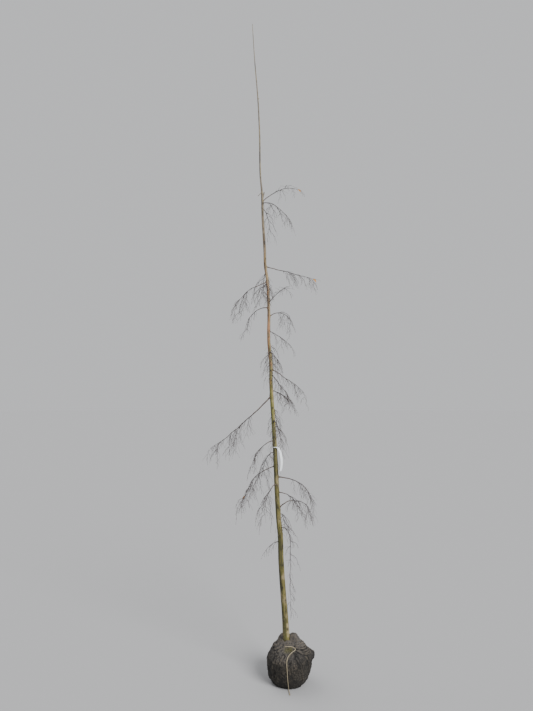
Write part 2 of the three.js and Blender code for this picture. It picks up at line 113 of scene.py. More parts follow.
# Where the bark turns from one colour to the next on the way up: heights in metres, and the colour
BARK_BANDS = [(1.4, 1.85, "bark_middle"), (2.0, 2.5, "bark_high"), (2.85, 3.3, "bark_leader")]

# Short stubs on the trunk: height, direction seen from above, length, thickness, slope. Then how much each
# narrows, the points that it is drawn in, and how small its blunt end is
STUBS = [
    (3395, -12, 62, 12, 76),
    (3455, 190, 46, 5, -50),
    (4188, 20, 16, 5, 48),
]
STUB_NARROWS = 0.3
STUB_POINTS = 9
STUB_END = 0.55

# Healed cuts and knots on the trunk: height, direction seen from above, radius
KNOTS = [
    (346, -62, 7), (399, -120, 5), (531, -48, 7), (617, -98, 6), (764, -70, 7), (891, -40, 6),
    (1565, -60, 5), (1643, -100, 6), (1756, -52, 6), (1848, -84, 5), (2042, -60, 6), (2114, -98, 5),
    (2208, -72, 6), (3070, -66, 6), (470, 70, 6), (702, 130, 7), (980, 60, 6), (1204, 150, 6),
    (1688, 40, 6), (1920, 118, 5), (2380, 62, 6), (2520, 170, 5), (2740, 30, 5), (2990, 110, 5),
    (3180, 40, 4), (3560, -80, 3), (3810, 60, 3), (4060, -120, 2.5), (4330, -40, 2.5),
]

# A knot's width as a share of its height, and in shares of its radius its rim's and its pit's height and
# width. Then how dark it is and how far out, and the most that knots and the scuffed patch may cover
KNOT_TALL = 0.85
KNOT_RIM = (0.27, 0.42)
KNOT_PIT = (0.2, 0.6)
KNOT_DARK = (0.95, 0.85)
DARKEST = 0.95

# The swelling of bark round a limb's root: how far below the limb it lies, its width and height as a share
# of the limb's thickness and millimetres more, and the thickness from which it is full
COLLAR_BELOW = 2
COLLAR_WIDE = (0.75, 1.5)
COLLAR_TALL = (1.2, 3)
COLLAR_FULL = 7

# The arched crease of bark over a limb and over a knot: how far up, as millimetres and as a share of the
# limb's thickness or the knot's radius, then its bend, its thinness and its width, relief and darkness
LIMB_BROW = {"up": 4, "share": 0.35, "bend": 0.7, "thin": 2.8, "wide": 15, "relief": 0.6, "dark": 0.75}
KNOT_BROW = {"share": 1.4, "bend": 0.6, "thin": 2.6, "wide": 2.4, "dark": 0.6}

# The pale scuffed patch at the foot: height, direction, half its height and half its width, and the wave
# and depth of its ragged edge, and how it thins out
SCUFF = (333, -34, 44, 15)
SCUFF_WAVE = 14
SCUFF_RAGGED = 0.5
SCUFF_CORE = 1.5
SCUFF_EDGE = 0.25

# The ball's side from its base edge to the trunk's seat: height, radius
BALL_SIDE = np.array([
    (0, 98), (7, 109), (26, 125), (68, 141), (120, 151), (165, 152), (197, 138), (224, 114), (246, 86),
    (BALL_HEIGHT, 56),
])

# Where the ball swells or falls in: direction, height, change of radius, width in degrees, tallness in mm
BALL_SWELLS = [
    (0, 187, 40, 22, 33),
    (180, 206, -29, 50, 45),
    (-62, 120, 7, 34, 60),
    (118, 96, 9, 45, 60),
    (-118, 60, -6, 30, 40),
    (52, 70, -7, 32, 50),
    (184, 118, -9, 60, 60),
    (-90, 6, -8, 70, 40),
    (4, 252, 36, 34, 24),
    (2, 112, 7, 26, 48),
]

# The main limbs from the top down: name, height on the trunk, direction seen from above (0 is right,
# 90 is away from the viewer), length, thickness, slope at the start and at the end, lateness of the
# bend, share that is bare bough, longest hanging twig, plumb length that follows the bend
LIMB_FIELDS = "name height toward length thick rises ends bends bare hangs falls".split()
LIMBS = [dict(zip(LIMB_FIELDS, row)) for row in [
    ("top_right", 3381, 12, 326, 6.5, 45, -12, 1.6, 0.3, 110, 0),
    ("top_low", 3368, -35, 330, 5.5, 6, -68, 0.6, 0, 130, 0),
    ("top_back", 3320, 76, 300, 6, 28, -74, 1, 0.3, 130, 0),
    ("high_right", 2886, 20, 396, 7, -9, -8, 0.6, 0.3, 150, 0),
    ("high_back", 2834, 96, 340, 7, 22, -78, 1.2, 0.3, 170, 0),
    ("high_left", 2768, 200, 327, 7, -13, -50, 0.6, 0.3, 250, 0),
    ("high_front", 2700, -97, 320, 6.5, 26, -80, 1.2, 0.3, 170, 0),
    ("upper_spur", 2611, -50, 240, 5.5, 34, -3, 1.6, 0, 90, 0),
    ("upper_left", 2574, 150, 280, 6.5, 17, -97, 1, 0.35, 130, 0),
    ("upper_right", 2510, 40, 260, 6.5, 32, -78, 1.6, 0.3, 150, 0),
    ("middle_spur", 2406, -25, 196, 5, -26, -43, 1.6, 0, 120, 0),
    ("middle_back", 2318, 84, 330, 7, 12, -76, 1.1, 0.3, 180, 0),
    ("middle_front", 2246, -84, 300, 6.5, 10, -74, 1, 0.3, 170, 0),
    ("middle_right", 2128, 15, 304, 7, -24, -40, 0.6, 0.3, 160, 0),
    ("middle_low", 2097, -34, 276, 5.5, -46, -54, 0.6, 0, 150, 0),
    ("short_right", 1976, 50, 238, 6, -7, -34, 1, 0, 150, 0),
    ("main_left", 1936, 185, 568, 10, -46, -31, 1.6, 0.34, 230, 0),
    ("lower_back", 1835, 82, 350, 7.5, 10, -78, 1.1, 0.3, 190, 0),
    ("lower_front", 1752, -80, 320, 7, 8, -78, 1.1, 0.3, 180, 0),
    ("lower_left", 1618, 215, 230, 7, -3, -70, 1, 0.35, 170, 0),
    ("waist_back", 1528, 112, 350, 7.5, 5, -80, 1, 0.3, 200, 0),
    ("waist_left", 1441, 160, 380, 7, -14, -78, 1, 0.28, 240, 0),
    ("waist_right", 1367, -10, 330, 8.5, -6, -100, 2.2, 0.3, 200, 0),
    ("waist_front", 1312, -112, 310, 7, 4, -80, 1.1, 0.3, 190, 0),
    ("low_right", 1261, 35, 262, 6.5, -10, -88, 1.6, 0.3, 170, 0),
    ("low_arch", 1138, -20, 319, 8, 49, -108, 1.6, 0.4, 150, 0),
    ("low_back", 1092, 76, 290, 6.5, 16, -82, 1, 0.3, 170, 0),
    ("long_fall", 1003, -52, 160, 4.5, 58, -86, 0.8, 0, 90, 500),
    ("lowest_spur", 924, 200, 130, 4.5, 2, -58, 1, 0, 100, 0),
]]

# How a limb thins out, and the rule by which twigs stand on a stem, with lengths in millimetres, slopes
# and directions in degrees, and shares of the longest twig, of the limb's thickness and of a twig's length
TIP_THICK = 1.3
LIMB_TAPER = 0.8
FINE_STEPS = 96
STEM_STEP = 38
TWIG_STEP = 48
TWIG_SPACING = 44
TWIG_SHARE = 0.62
TWIG_MOST = 2.6
SIDE_SPACING = 90
SIDE_FROM = 0.7
SIDE_SPARE = 0.6
SIDE_SHARE = 0.55
SIDE_THICK = 0.75
SIDE_SLOPE = -30
STEEPEST = -40
SHORTEST_TWIG = 48
SEED = 20261
SEED_STEP = 97
DRAW_TIMES = 1664525
DRAW_PLUS = 1013904223
DRAW_RANGE = 2 ** 32
DRAWS = {
    "share": (0.45, 1),
    "tilt": (-12, 18),
    "ends": (-74, -96),
    "bends": (0.7, 1.2),
    "aside": (30, 95),
    "side_aside": (40, 100),
    "place": (0.5, 0.8),
}

# The space that a mass keeps to: its width off the stem, the lowest height, the gap to all else, and how
# closely lines are sampled to keep it
SPACE_WIDTH = 95
LOWEST_TWIG = BALL_HEIGHT + 70
CLEARANCE = 3.5
SAMPLE_STEP = 6
TRUNK_SAMPLES = 640

# The fine twigs that this scene hangs on each stem whose own twigs are long enough: spacing, place in it
# and play, lengths as shares of the longest twig, slopes at the start, bend and thickness
HANGER_LEAST = 150
HANGER_SPACING = 32
HANGER_PLACE = 0.2
HANGER_PLAY = 0.6
HANGER_SHARES = (0.3, 0.85)
HANGER_SLOPES = (-5, -45)
HANGER_BENDS = 0.7
HANGER_THICK = 1.7
HANGER_SEED = 7919

# The finer shoots that this scene adds on every twig: spacing, place in it and play, lengths and how few
# are long, directions off the twig, slope against the twig's, and how far they droop and play in that
SHOOT_SPACING = 21
SHOOT_PLACE = 0.35
SHOOT_PLAY = 0.5
SHOOT_LENGTHS = (18, 74)
SHOOT_FEW_LONG = 1.8
SHOOT_ASIDE = (35, 75)
SHOOT_RISE = 14
SHOOT_STEEPEST = -55
SHOOT_DROOP = 30
SHOOT_DROOP_PLAY = 25
SHOOT_THICK = 1.5
SHOOT_TIP = 0.85
SHOOT_CLEARANCE = 1.2

# How far ahead a twig's own direction is read, and how many times steeper than level counts as plumb
LOOK_AHEAD = 0.04
PLUMB = 3

# How the crown is drawn: length of a step, cover over the solid's thickness, how a tip ends, the number of
# plain colours that are dealt out, how far the palest of them goes from the twigs' colour to the boughs',
# and the height that parts the upper piece from the lower one
DRAWN_STEP = 7
DRAWN_COVER = 1.3
TWIG_END = 0.5
TWIG_SHADES = 3
TWIG_PALEST = 0.55
CROWN_SPLIT = 2000

# How round each kind of tube is: Blender's bevel resolution
STUB_ROUND = 4
BOUGH_ROUND = 5
TWIG_ROUND = 1
TWINE_ROUND = 2

# How a bough is drawn: length of a step, how much its root flares and how soon that ends, and its lumps'
# wave, how far apart two boughs' lumps are read, and height
BOUGH_STEP = 3
FLARE = 0.7
FLARE_ENDS = 9
LUMP_WAVE = 16
LUMP_APART = 5.1
LUMP_HEIGHT = 0.1

# The crooks of limbs and twigs: wave in mm and how far they stray, how near the trunk they fade and how
# much is left there, and the shifts that keep the crooks along X, Y and Z unlike
CROOKS = [(105, 7.5), (36, 2.6)]
CROOKS_FADE = 60
CROOKS_LEFT = 0.15
CROOK_SHIFTS = np.array([(0.3, 0.1, 0.7), (31.7, 5.9, 12.3), (8.1, 47.3, 29.9)])

# A bud's shape: sides, rings, width as a share of its length, how far it narrows and its blunt tip
BUD_SIDES = 6
BUD_RINGS = 4
BUD_WIDE = 0.27
BUD_NARROWS = 0.62
BUD_BLUNT = 0.05

# How buds stand: place in their spacing, how far out on the twig, how they point ahead and aside, sizes
# and how those change from bud to bud, and the size of the one at the tip
BUD_PLACE = 0.3
BUD_SEAT = 0.75
BUD_AHEAD = 0.86
BUD_ASIDE = 0.5
BUD_SIZE = 0.8
BUD_PLAY = 0.3
BUD_CHANGE = 2.4
BUD_AT_TIP = 1.15

# Two directions to turn a bud's side from, and how upright a twig is before the second is taken
BUD_SIDEWAYS = ([0.31, 0.17, 1.0], [1.0, 0.2, 0])
BUD_UPRIGHT = 0.9

# The leaves still held: limb, length, width, share along the limb, direction. Then how they droop and roll
# in degrees, how finely they are meshed, and their thickness in millimetres
LEAVES = [
    ("top_right", 30, 18, 0.985, -28),
    ("high_right", 34, 20, 0.985, -20),
    ("waist_left", 26, 16, 0.9, 200),
]
LEAF_DROOP = 50
LEAF_ROLL = 35
LEAF_GRID = (20, 12)
LEAF_THICK = 0.3

# A leaf's outline: where it is widest, how full, how much it narrows and its least width
LEAF_OUTLINE = (0.85, 0.75, 0.15, 0.02)

# A leaf's veins: height, number, slant and the bare midrib's half width
VEIN_HEIGHT = 0.35
VEIN_WAVES = 44
VEIN_SLANT = 6
MIDRIB = 0.12

# How far and how sharply a leaf's edges rise and its tip sinks
LEAF_CUP = (0.22, 1.6)
LEAF_SINKS = (0.012, 1.5)

# The tag: a band round the trunk and a strip that leaves it, bows out and hangs, in millimetres. The bow is
# three points after the band, each so far out and up. Then where the crown keeps clear of it, the band's
# play round the trunk, the step by which that room is sampled, the strip's mesh and how far it curls
TAG_HEIGHT = 1572
TAG_TOWARD = -30
TAG_BAND = 4
TAG_THICK = 1
TAG_WIDTH = 31
TAG_BOW = [(26, -5), (56, -91), (30, -166)]
TAG_OUT = 52
TAG_DROP = 166
TAG_PLAY = 0.75
TAG_SAMPLE = 20
TAG_GRID = (48, 8)
TAG_CURL = 1.2

# The share of the strip before its rounded end, that end's share, and how narrow it gets
TAG_ROUND_FROM = 0.97
TAG_ROUND = 0.03
TAG_ROUND_LEAST = 0.35

# The thickness and the softened edge of the strip and of the band, in millimetres, the band's sides, and
# from which angle in radians an edge is softened
STRIP_WALL = 0.7
STRIP_EDGE = 0.2
BAND_WALL = 0.8
BAND_EDGE = 0.25
BAND_SIDES = 64
TAG_CORNER = 1.0

# The twine: thickness, gap to the ball, points along its way and how many of them go to one that is kept,
# and points by which the cloth under it is found. Then its way over the ball, as direction and share up the
# side, and its tail on the ground
TWINE_THICK = 4
TWINE_OFF = 1.2
TWINE_POINTS = 120
TWINE_KEEPS = 3
BED_POINTS = 220
TWINE_ROUTE = np.array([
    (-101, 0.95), (-86, 0.94), (-68, 0.935), (-57, 0.9), (-54, 0.865), (-62, 0.84), (-74, 0.815),
    (-85, 0.765), (-92, 0.7), (-94, 0.6), (-94, 0.5), (-94, 0.38), (-93, 0.26), (-92, 0.12),
])
TWINE_TAIL = np.array([(-3, -112, 5), (-2, -126, 2.4), (2, -163, 2.4)])

# The twine's strands: count, points of each, radius, distance off the middle, and where and how far they
# splay at the end
STRANDS = 3
STRAND_POINTS = 900
STRAND_RADIUS = 1.1
STRAND_OFF = 0.95
SPLAY_FROM = 0.955
SPLAY_LENGTH = 0.045
SPLAY = 2.6

# The frayed fibres at the twine's cut end: count, direction and spread in degrees, lengths, points, radius,
# where they start, their heights off the ground, and steps that spread directions, lengths and heights
FRAYED = 11
FRAY_TOWARD = -90
FRAY_WIDTH = 46
FRAY_LENGTHS = (8, 17)
FRAY_POINTS = 6
FRAY_RADIUS = 0.45
FRAY_START = -8
FRAY_GROUND = 1.0
FRAY_HEIGHT = 3.2
FRAY_SINKS = 0.2
FRAY_STEPS = (0.618, 0.377, 0.271)

# The cloth's lip round the trunk's foot: distance from the trunk's middle, width and height, where it
# starts off the trunk and up the ball, and how uneven it is
LIP_REACH = 31
LIP_WIDTH = 7
LIP_HEIGHT = 9
LIP_INSIDE = (25, 28)
LIP_RISES = (240, 255)
LIP_UNEVEN = 0.7

# The height above which the cloth is gathered, and its threads lie flat on each face
GATHERED_ABOVE = 206

# How far off a point of the ball its slope is read: degrees round and share up
LOOK_ROUND = 2
LOOK_UP = 0.02

# How the threads wander: waves a metre, and shift in threads
THREAD_WAVES = 120.0
THREAD_WANDER = (1.4, 1.4, 0)

# The ball's girth in metres that the threads run round, the share of a turn from the left to where they
# begin, and the radius inside which they run up as they run inwards
THREADS_ROUND = 0.88
THREADS_BEGIN = 0.25
THREADS_TURN_IN = 120

# How the ball is meshed: size of its cells in metres, rounds and strength of smoothing, and the height
# over which the cloth starts to stand out, so that the underside stays flat
CELL = 0.0026
SMOOTH_ROUNDS = 7
SMOOTH_SHARE = 0.6
FLAT_BELOW = 6

# The cloth's uneven forms: where in the noise each is read, so that no two are alike, wave in mm, stretch
# on each axis, layers of detail, and whether it is folded into sharp crests
CLOTH_FORMS = {
    "creases": (0, 46, (1, 1, 1.7), 2, True),
    "fine": (400, 19, (1, 1, 1.3), 2, True),
    "clods": (900, 13, (1, 1, 1), 2, False),
    "pleats": (-700, 15, (1, 1, 5), 1, True),
    "lumps": (-300, 64, (1, 1, 1), 1, False),
    "patches": (1500, 30, (1, 1, 1), 2, False),
    "lip": (2100, 12, (1, 1, 6), 1, False),
}

# The depth of the small forms as shares of the crumple, and the heights over which the pleats set in
CRUMPLE_SHARES = {"creases": 0.55, "fine": 0.42, "clods": 0.5, "pleats": 0.6}
LUMPS_SHARE = 0.8
PLEATS_RISE = (222, 246)

# Folds of the wrap: direction and share of both ends, sag as share, width, height
FOLDS = [
    (-50, 0.9, 4, 0.8, -0.03, 5, 7), (-56, 0.86, 2, 0.76, -0.05, 5, 6), (-50, 0.81, 0, 0.74, -0.055, 5, 6),
    (-40, 0.93, 8, 0.86, -0.02, 6, 5), (-44, 0.77, -4, 0.71, -0.05, 5, 5), (-30, 0.97, 22, 0.88, 0, 7, 5),
    (-96, 0.93, -128, 0.8, 0.02, 6, 5), (-120, 0.95, -150, 0.8, 0, 7, 6), (-150, 0.94, 178, 0.78, 0, 7, 6),
    (172, 0.94, 150, 0.74, 0, 8, 6), (140, 0.95, 112, 0.72, 0, 7, 7), (104, 0.95, 86, 0.76, 0, 7, 6),
    (80, 0.94, 52, 0.74, 0, 8, 6), (52, 0.95, 26, 0.78, 0, 7, 6), (-72, 0.8, -100, 0.62, 0.02, 5, 4),
    (-104, 0.74, -124, 0.42, 0, 7, 4), (-130, 0.66, -142, 0.3, 0, 8, 4), (-64, 0.7, -52, 0.34, 0, 7, 4),
    (-34, 0.66, -24, 0.28, 0, 8, 4), (-6, 0.62, 2, 0.22, 0, 8, 4), (30, 0.62, 24, 0.24, 0, 8, 4),
    (62, 0.66, 70, 0.26, 0, 8, 4), (98, 0.62, 92, 0.2, 0, 8, 4), (132, 0.62, 140, 0.24, 0, 8, 4),
    (168, 0.6, 160, 0.22, 0, 8, 4), (-166, 0.62, -174, 0.24, 0, 8, 4), (2, 0.7, 4, 0.42, 0, 15, 5),
]

# How a fold is drawn: its points, how strong its ends are, how much wider and how deep the trough beside
# it is, and the level, depth and span of the patches in which it is strong
FOLD_POINTS = 22
FOLD_ENDS = 0.55
TROUGH_WIDE = 2.1
TROUGH_DEPTH = 0.3
PATCHY_LEVEL = 0.8
PATCHY_DEPTH = 0.75
PATCHY_SPAN = (0.2, 1.15)

# Hollows of the wrap: direction, share, width in mm, depth in mm, and how dark their painted shade gets
HOLLOWS = [(-76, 0.835, 17, 7), (-62, 0.79, 14, 5), (-84, 0.9, 12, 3), (-116, 0.52, 20, 3)]
HOLLOW_DARK = 0.8

# How far to each side the twine presses the cloth smooth, and how far the cloth may stand in or out
BED_WIDTH = 9
PUSH_SPAN = (-9, 9.5)

# What counts as raised cloth: the troughs' share, heights and strengths between which folds count more,
# and the level and span in millimetres
RAISED_TROUGHS = 1.3
RAISED_FROM = 130
RAISED_OVER = 60
RAISED_SHARES = (0.1, 0.8)
RAISED_LEVEL = 1.2
RAISED_SPAN = 6

# The mossy patches: direction and share of each, width in mm and strength
MOSS = [(-76, 0.885), (-92, 0.86)]
MOSS_WIDTH = 19
MOSS_STRENGTH = 0.9

# The floor's radius and depth in metres, the soft suns, each with the place that it shines from, its
# strength and its width in degrees, and the sky
FLOOR_RADIUS = 180
FLOOR_SIDES = 96
FLOOR_DROP = 0.0005
SUNS = [
    ((3.0, -4.2, 3.8), 4.5, 28),
    ((-3.0, 2.6, 5.0), 0.9, 50),
]
SKY_COLOUR = (0.97, 0.98, 1.0, 1)
SKY_STRENGTH = 0.66

# The camera: place in metres, pitch in degrees, lens in millimetres
CAMERA_PLACE = (-0.15, -3.6, 1.87)
CAMERA_PITCH = 5.65
CAMERA_LENS = 25.32


def srgb(*levels):
    """A colour of 0 to 255 as seen on a screen, as Blender's linear colour."""
    return tuple(((c / 255 + 0.055) / 1.055) ** 2.4 if c > 10 else c / 255 / 12.92 for c in levels)


def colour(name, description, *levels):
    return FloatVectorProperty(
        name=name, description=description, subtype="COLOR", min=0, max=1, default=srgb(*levels))


def measure(name, description, default, least, most):
    return FloatProperty(
        name=name, description=description, default=default, min=least, max=most, unit="LENGTH")


class SaplingSizes(PropertyGroup):
    """The sizes of the fine forms"""

    ring_step: measure("Ring Step", "Length of trunk between two extruded rings", 0.02, 0.01, 0.1)
    bark_relief: measure("Bark Relief", "Height of the bark's unevenness on the trunk", 0.0007, 0, 0.003)
    collar_height: measure("Collar Height", "Bark's swelling round the root of a limb", 0.0026, 0, 0.006)
    bud_length: measure("Bud Length", "Length of a winter bud", 0.0045, 0.001, 0.02)
    bud_spacing: measure("Bud Spacing", "Length of twig from one bud to the next", 0.027, 0.01, 0.1)
    thread_pitch: measure("Thread Pitch", "Distance from thread to thread of the wrap", 0.0022, 0.001, 0.01)
    crumple: measure("Crumple", "Depth of the small creases of the wrap", 0.0042, 0, 0.01)
    strand_turns: IntProperty(
        name="Strand Turns", description="Turns of the twine's strands along its length", default=52,
        min=1, max=200)


class SaplingColours(PropertyGroup):
    """The colours of all finishes"""

    bark_low: colour("Low Bark", "Olive bark of the lower trunk", 88, 85, 32)
    bark_middle: colour("Middle Bark", "Yellow-olive bark half way up", 124, 121, 60)
    bark_high: colour("High Bark", "Orange-tan bark under the crown's top", 140, 114, 86)
    bark_peeled: colour("Peeled Bark", "Orange-tan patches where the bark peels", 168, 112, 76)
    bark_leader: colour("Leader Bark", "Grey-beige bark of the leader", 118, 107, 94)
    bark_pale: colour("Pale Bark", "Buff flecks and the scuffed foot", 160, 144, 112)
    # Warm bark, also the painted light on the trunk's right side towards the key sun
    bark_warm_and_painted_light: colour("Lit Bark", "Warm bark on the side that dries first", 147, 131, 80)
    bark_dark: colour("Dark Bark", "Dark stains and knots", 32, 27, 18)
    # A green film, also the painted shade on the trunk's left side away from the key sun
    algae_and_painted_shade: colour("Algae", "Green film on the shaded side", 40, 44, 16)
    bough: colour("Bough", "Purple-brown bark of the boughs", 84, 66, 60)
    twig: colour("Twig", "Dark brown bark of the twigs", 46, 34, 31)
    bud: colour("Bud", "Brown scales of the buds", 66, 44, 35)
    leaf: colour("Leaf", "Dry orange leaf", 182, 124, 44)
    wrap: colour("Wrap", "Soil-stained hessian", 30, 25, 19)
    # Dry threads, also the painted highlight on the crests and painted light towards the top
    wrap_pale_and_painted_light: colour("Pale Wrap", "Dry threads of the hessian", 102, 93, 80)
    # Grey cloth of the gathered top, also painted light from above
    wrap_grey_and_painted_light: colour("Grey Wrap", "Dry grey hessian of the gathered top", 97, 94, 92)
    # Damp soil, also the painted shade in the troughs, in the hollows and towards the foot
    wrap_damp_and_painted_shade: colour("Damp Wrap", "Wet soil showing through", 14, 12, 9)
    twine: colour("Twine", "Straw-coloured twine", 166, 154, 128)
    tag: colour("Tag", "Blank white tag", 244, 247, 249)
    floor: colour("Floor", "Pale floor", 163, 163, 164)


def deselect():
    if bpy.context.object and bpy.context.object.mode != "OBJECT":
        bpy.ops.object.mode_set(mode="OBJECT")
    bpy.ops.object.select_all(action="DESELECT")


def choose(piece, *others):
    """Selects the pieces, with the first as the active one."""
    deselect()
    for each in (piece, *others):
        each.select_set(True)
    bpy.context.view_layer.objects.active = piece


def added(name, data):
    """A new object that holds the data, chosen as the active one."""
    piece = bpy.data.objects.new(name, data)
    bpy.context.scene.collection.objects.link(piece)
    choose(piece)
    return piece


def place_applied():
    """The active piece, with its place in its mesh."""
    bpy.ops.object.transform_apply(location=True, rotation=True, scale=True)
    return bpy.context.object


def settled(piece, name):
    """The piece under its name, with its place in its mesh and its object at the origin."""
    choose(piece)
    place_applied()
    piece.name = name
    piece.data.name = name
    return piece


def apply_modifier(piece, kind, **settings):
    choose(piece)
    modifier = piece.modifiers.new(kind.title(), kind)
    for key, value in settings.items():
        setattr(modifier, key, value)
    bpy.ops.object.modifier_apply(modifier=modifier.name)


def mend(merge, outwards=True):
    """Merges the active mesh's doubled corners and turns its faces outwards."""
    bpy.ops.object.mode_set(mode="EDIT")
    bpy.ops.mesh.select_all(action="SELECT")
    bpy.ops.mesh.remove_doubles(threshold=merge)
    if outwards:
        bpy.ops.mesh.normals_make_consistent(inside=False)
    bpy.ops.object.mode_set(mode="OBJECT")


def rows_of(items, key):
    """One row of three numbers for each item of a mesh."""
    flat = np.empty(len(items) * 3, np.float32)
    items.foreach_get(key, flat)
    return flat.reshape(-1, 3).astype(float)


def corners(piece):
    """The vertices' places, in millimetres."""
    return rows_of(piece.data.vertices, "co") / MM


def move_corners(piece, places):
    piece.data.vertices.foreach_set("co", (places * MM).astype(np.float32).ravel())
    piece.data.update()


def note(piece, **layers):
    """Stores one number for each vertex under each name, for a material to read."""
    for name, values in layers.items():
        layer = piece.data.attributes.new(name, "FLOAT", "POINT")
        layer.data.foreach_set("value", np.asarray(values, np.float32))


def noise_at(places, scale, stretch=(1, 1, 1), octaves=2):
    """Smooth noise from about -1 to 1 at each place, one wave in about so many millimetres."""
    scaled = places / (scale * np.array(stretch))
    return np.array([noise.fractal(Vector(p), 1.0, 2.0, octaves) for p in scaled])


def form_at(places, name):
    """One of the cloth's uneven forms at each place, from about -1 to 1."""
    shift, wave, stretch, layers, sharp = CLOTH_FORMS[name]
    found = noise_at(places + shift, wave, stretch, layers)
    return 1 - 2 * np.abs(found) if sharp else found


def hump(*parts, power=2):
    """1 where all parts are 0, falling off to nothing as they pass 1."""
    return np.exp(-sum(part ** power for part in parts))


def rising(values, ends):
    """0 below the first end, 1 above the other, and even between."""
    return np.clip((values - ends[0]) / (ends[1] - ends[0]), 0, 1)


def between(ends, draw):
    return ends[0] + (ends[1] - ends[0]) * draw


def turned(toward, number, ends, random):
    """A direction that turns off by a drawn angle, to one side and the other in turn."""
    return toward + (1 if number % 2 else -1) * between(ends, next(random))


def tapered(ends, count):
    """The radii of a twig that tapers evenly from one thickness to another."""
    return between(ends, np.linspace(0, 1, count)) / 2


def whole(number):
    return math.floor(number + 0.5)


def steps_in(length, step, least=3):
    """How many steps of about the given size a length is drawn in."""
    return max(least, whole(length / step))


def draws_from(seed):
    """A seeded source of even numbers from 0 to 1."""
    state = seed % DRAW_RANGE
    while True:
        state = (state * DRAW_TIMES + DRAW_PLUS) % DRAW_RANGE
        yield state / DRAW_RANGE


def smooth_rows(rows, places):
    """Rows that lie smoothly between the rows of a table, at places counted in rows."""
    rows, places = np.asarray(rows, float), np.asarray(places, float)
    first = np.clip(np.floor(places).astype(int), 0, len(rows) - 2)
    t = (places - first)[..., None]
    a, b, c, d = (rows[np.clip(first + k, 0, len(rows) - 1)] for k in (-1, 0, 1, 2))
    return b + 0.5 * t * (c - a + t * (2 * a - 5 * b + 4 * c - d + t * (3 * (b - c) + d - a)))


def trunk_at(heights):
    """The trunk's middle and thickness at a height, or at each of several."""
    heights = np.asarray(heights, float)
    table = TRUNK_STATIONS
    upper = np.clip(np.searchsorted(table[:, 0], heights), 1, len(table) - 1)
    low, high = table[upper - 1, 0], table[upper, 0]
    rows = smooth_rows(table, upper - 1 + (heights - low) / (high - low))
    x = TRUNK_START_X - heights * math.tan(math.radians(TRUNK_LEAN)) + rows[..., 2]
    return np.stack([x, rows[..., 3], heights], -1), rows[..., 1]


def heading(toward, slope):
    """A unit step towards a direction seen from above, up or down a slope."""
    toward, slope = np.radians(toward), np.radians(slope)
    return np.stack([np.cos(slope) * np.cos(toward), np.cos(slope) * np.sin(toward), np.sin(slope)], -1)


def arch_line(start, toward, length, rises, ends, bends, steps):
    """The line of an arching limb: it leaves at one slope and bends steadily to another."""
    slopes = rises + (ends - rises) * ((np.arange(steps) + 0.5) / steps) ** bends
    moves = heading(np.full(steps, float(toward)), slopes) * length / steps
    return np.vstack([start, start + np.cumsum(moves, 0)])


def along_line(line, share):
    """The point at a share of the way along a line of even steps."""
    place = share * (len(line) - 1)
    first = min(math.floor(place), len(line) - 2)
    return line[first] + (line[first + 1] - line[first]) * (place - first)


def line_length(line):
    return np.linalg.norm(np.diff(line, axis=0), axis=1).sum()


def limb_length(limb):
    return limb["length"] + limb["falls"]


def limb_line(limb):
    """A limb's whole line in fine steps, with the plumb length that follows its bend."""
    start = trunk_at(limb["height"])[0]
    bend = arch_line(start, *(limb[k] for k in ("toward", "length", "rises", "ends", "bends")), FINE_STEPS)
    line = []
    for i in range(FINE_STEPS + 1):
        gone = limb_length(limb) * i / FINE_STEPS
        if gone <= limb["length"]:
            line.append(along_line(bend, gone / limb["length"]))
        else:
            line.append(bend[-1] - np.array([0, 0, gone - limb["length"]]))
    return np.array(line)


def limb_thick(limb, share):
    return TIP_THICK + (limb["thick"] - TIP_THICK) * (1 - share) ** LIMB_TAPER


def stretch(line, length, start, end, step):
    """The part of a line between two shares, in even steps of about the given length."""
    steps = steps_in((end - start) * length, step, least=2)
    return np.array([along_line(line, start + (end - start) * i / steps) for i in range(steps + 1)])


def sampled(line):
    """The points of a line of straight steps, a few millimetres apart."""
    points = []
    for start, end in zip(line, line[1:]):
        parts = math.ceil(np.linalg.norm(end - start) / SAMPLE_STEP)
        points += [start + (end - start) * (k + 1) / parts for k in range(parts)]
    return np.array(points)


def smoothed(line, step):
    """A line drawn as one smooth curve through its points, in steps of about the given length."""
    return smooth_rows(line, np.linspace(0, len(line) - 1, steps_in(line_length(line), step) + 1))


class Room:
    """The points that trunk, tag, limbs and twigs already take up, each with its owner and radius."""

    def __init__(self):
        self.points, self.radii, self.owners, self.names, self.packed = [], [], [], {}, None

    def owner_number(self, owner):
        return self.names.setdefault(owner, len(self.names))

    def take(self, owner, points, radii):
        self.points.append(points)
        self.radii.append(np.broadcast_to(radii, len(points)))
        self.owners.append(np.full(len(points), self.owner_number(owner)))
        self.packed = None

    def is_free(self, owner, stem, line, radius, clearance):
        """True when a line keeps clear of other pieces, of the ball and of the edge of its mass's space."""
        if line[:, 2].min() <= LOWEST_TWIG:
            return False
        strays = np.hypot(*(line[:, None, :2] - stem[None, :, :2]).transpose(2, 0, 1)).min(1)
        if strays.max() > SPACE_WIDTH:
            return False
        if self.packed is None:
            self.packed = [np.concatenate(part) for part in (self.points, self.radii, self.owners)]
        points, radii, owners = self.packed
        reach = radii.max() + radius + clearance
        near = np.all((points > line.min(0) - reach) & (points < line.max(0) + reach), axis=1)
        near &= owners != self.owner_number(owner)
        if not near.any():
            return True
        apart = np.linalg.norm(line[:, None] - points[near][None], axis=2)
        return bool((apart > radii[near] + radius + clearance).all())


def draw_twig(random, start, toward, slope, longest):
    """One twig that starts on a line and arches over until it hangs, and the draws that shape it."""
    length = longest * between(DRAWS["share"], next(random))
    rises = slope + between(DRAWS["tilt"], next(random))
    ends = between(DRAWS["ends"], next(random))
    bends = between(DRAWS["bends"], next(random))
    line = arch_line(start, toward, length, rises, ends, bends, steps_in(length, TWIG_STEP))
    return {"length": length, "line": line}


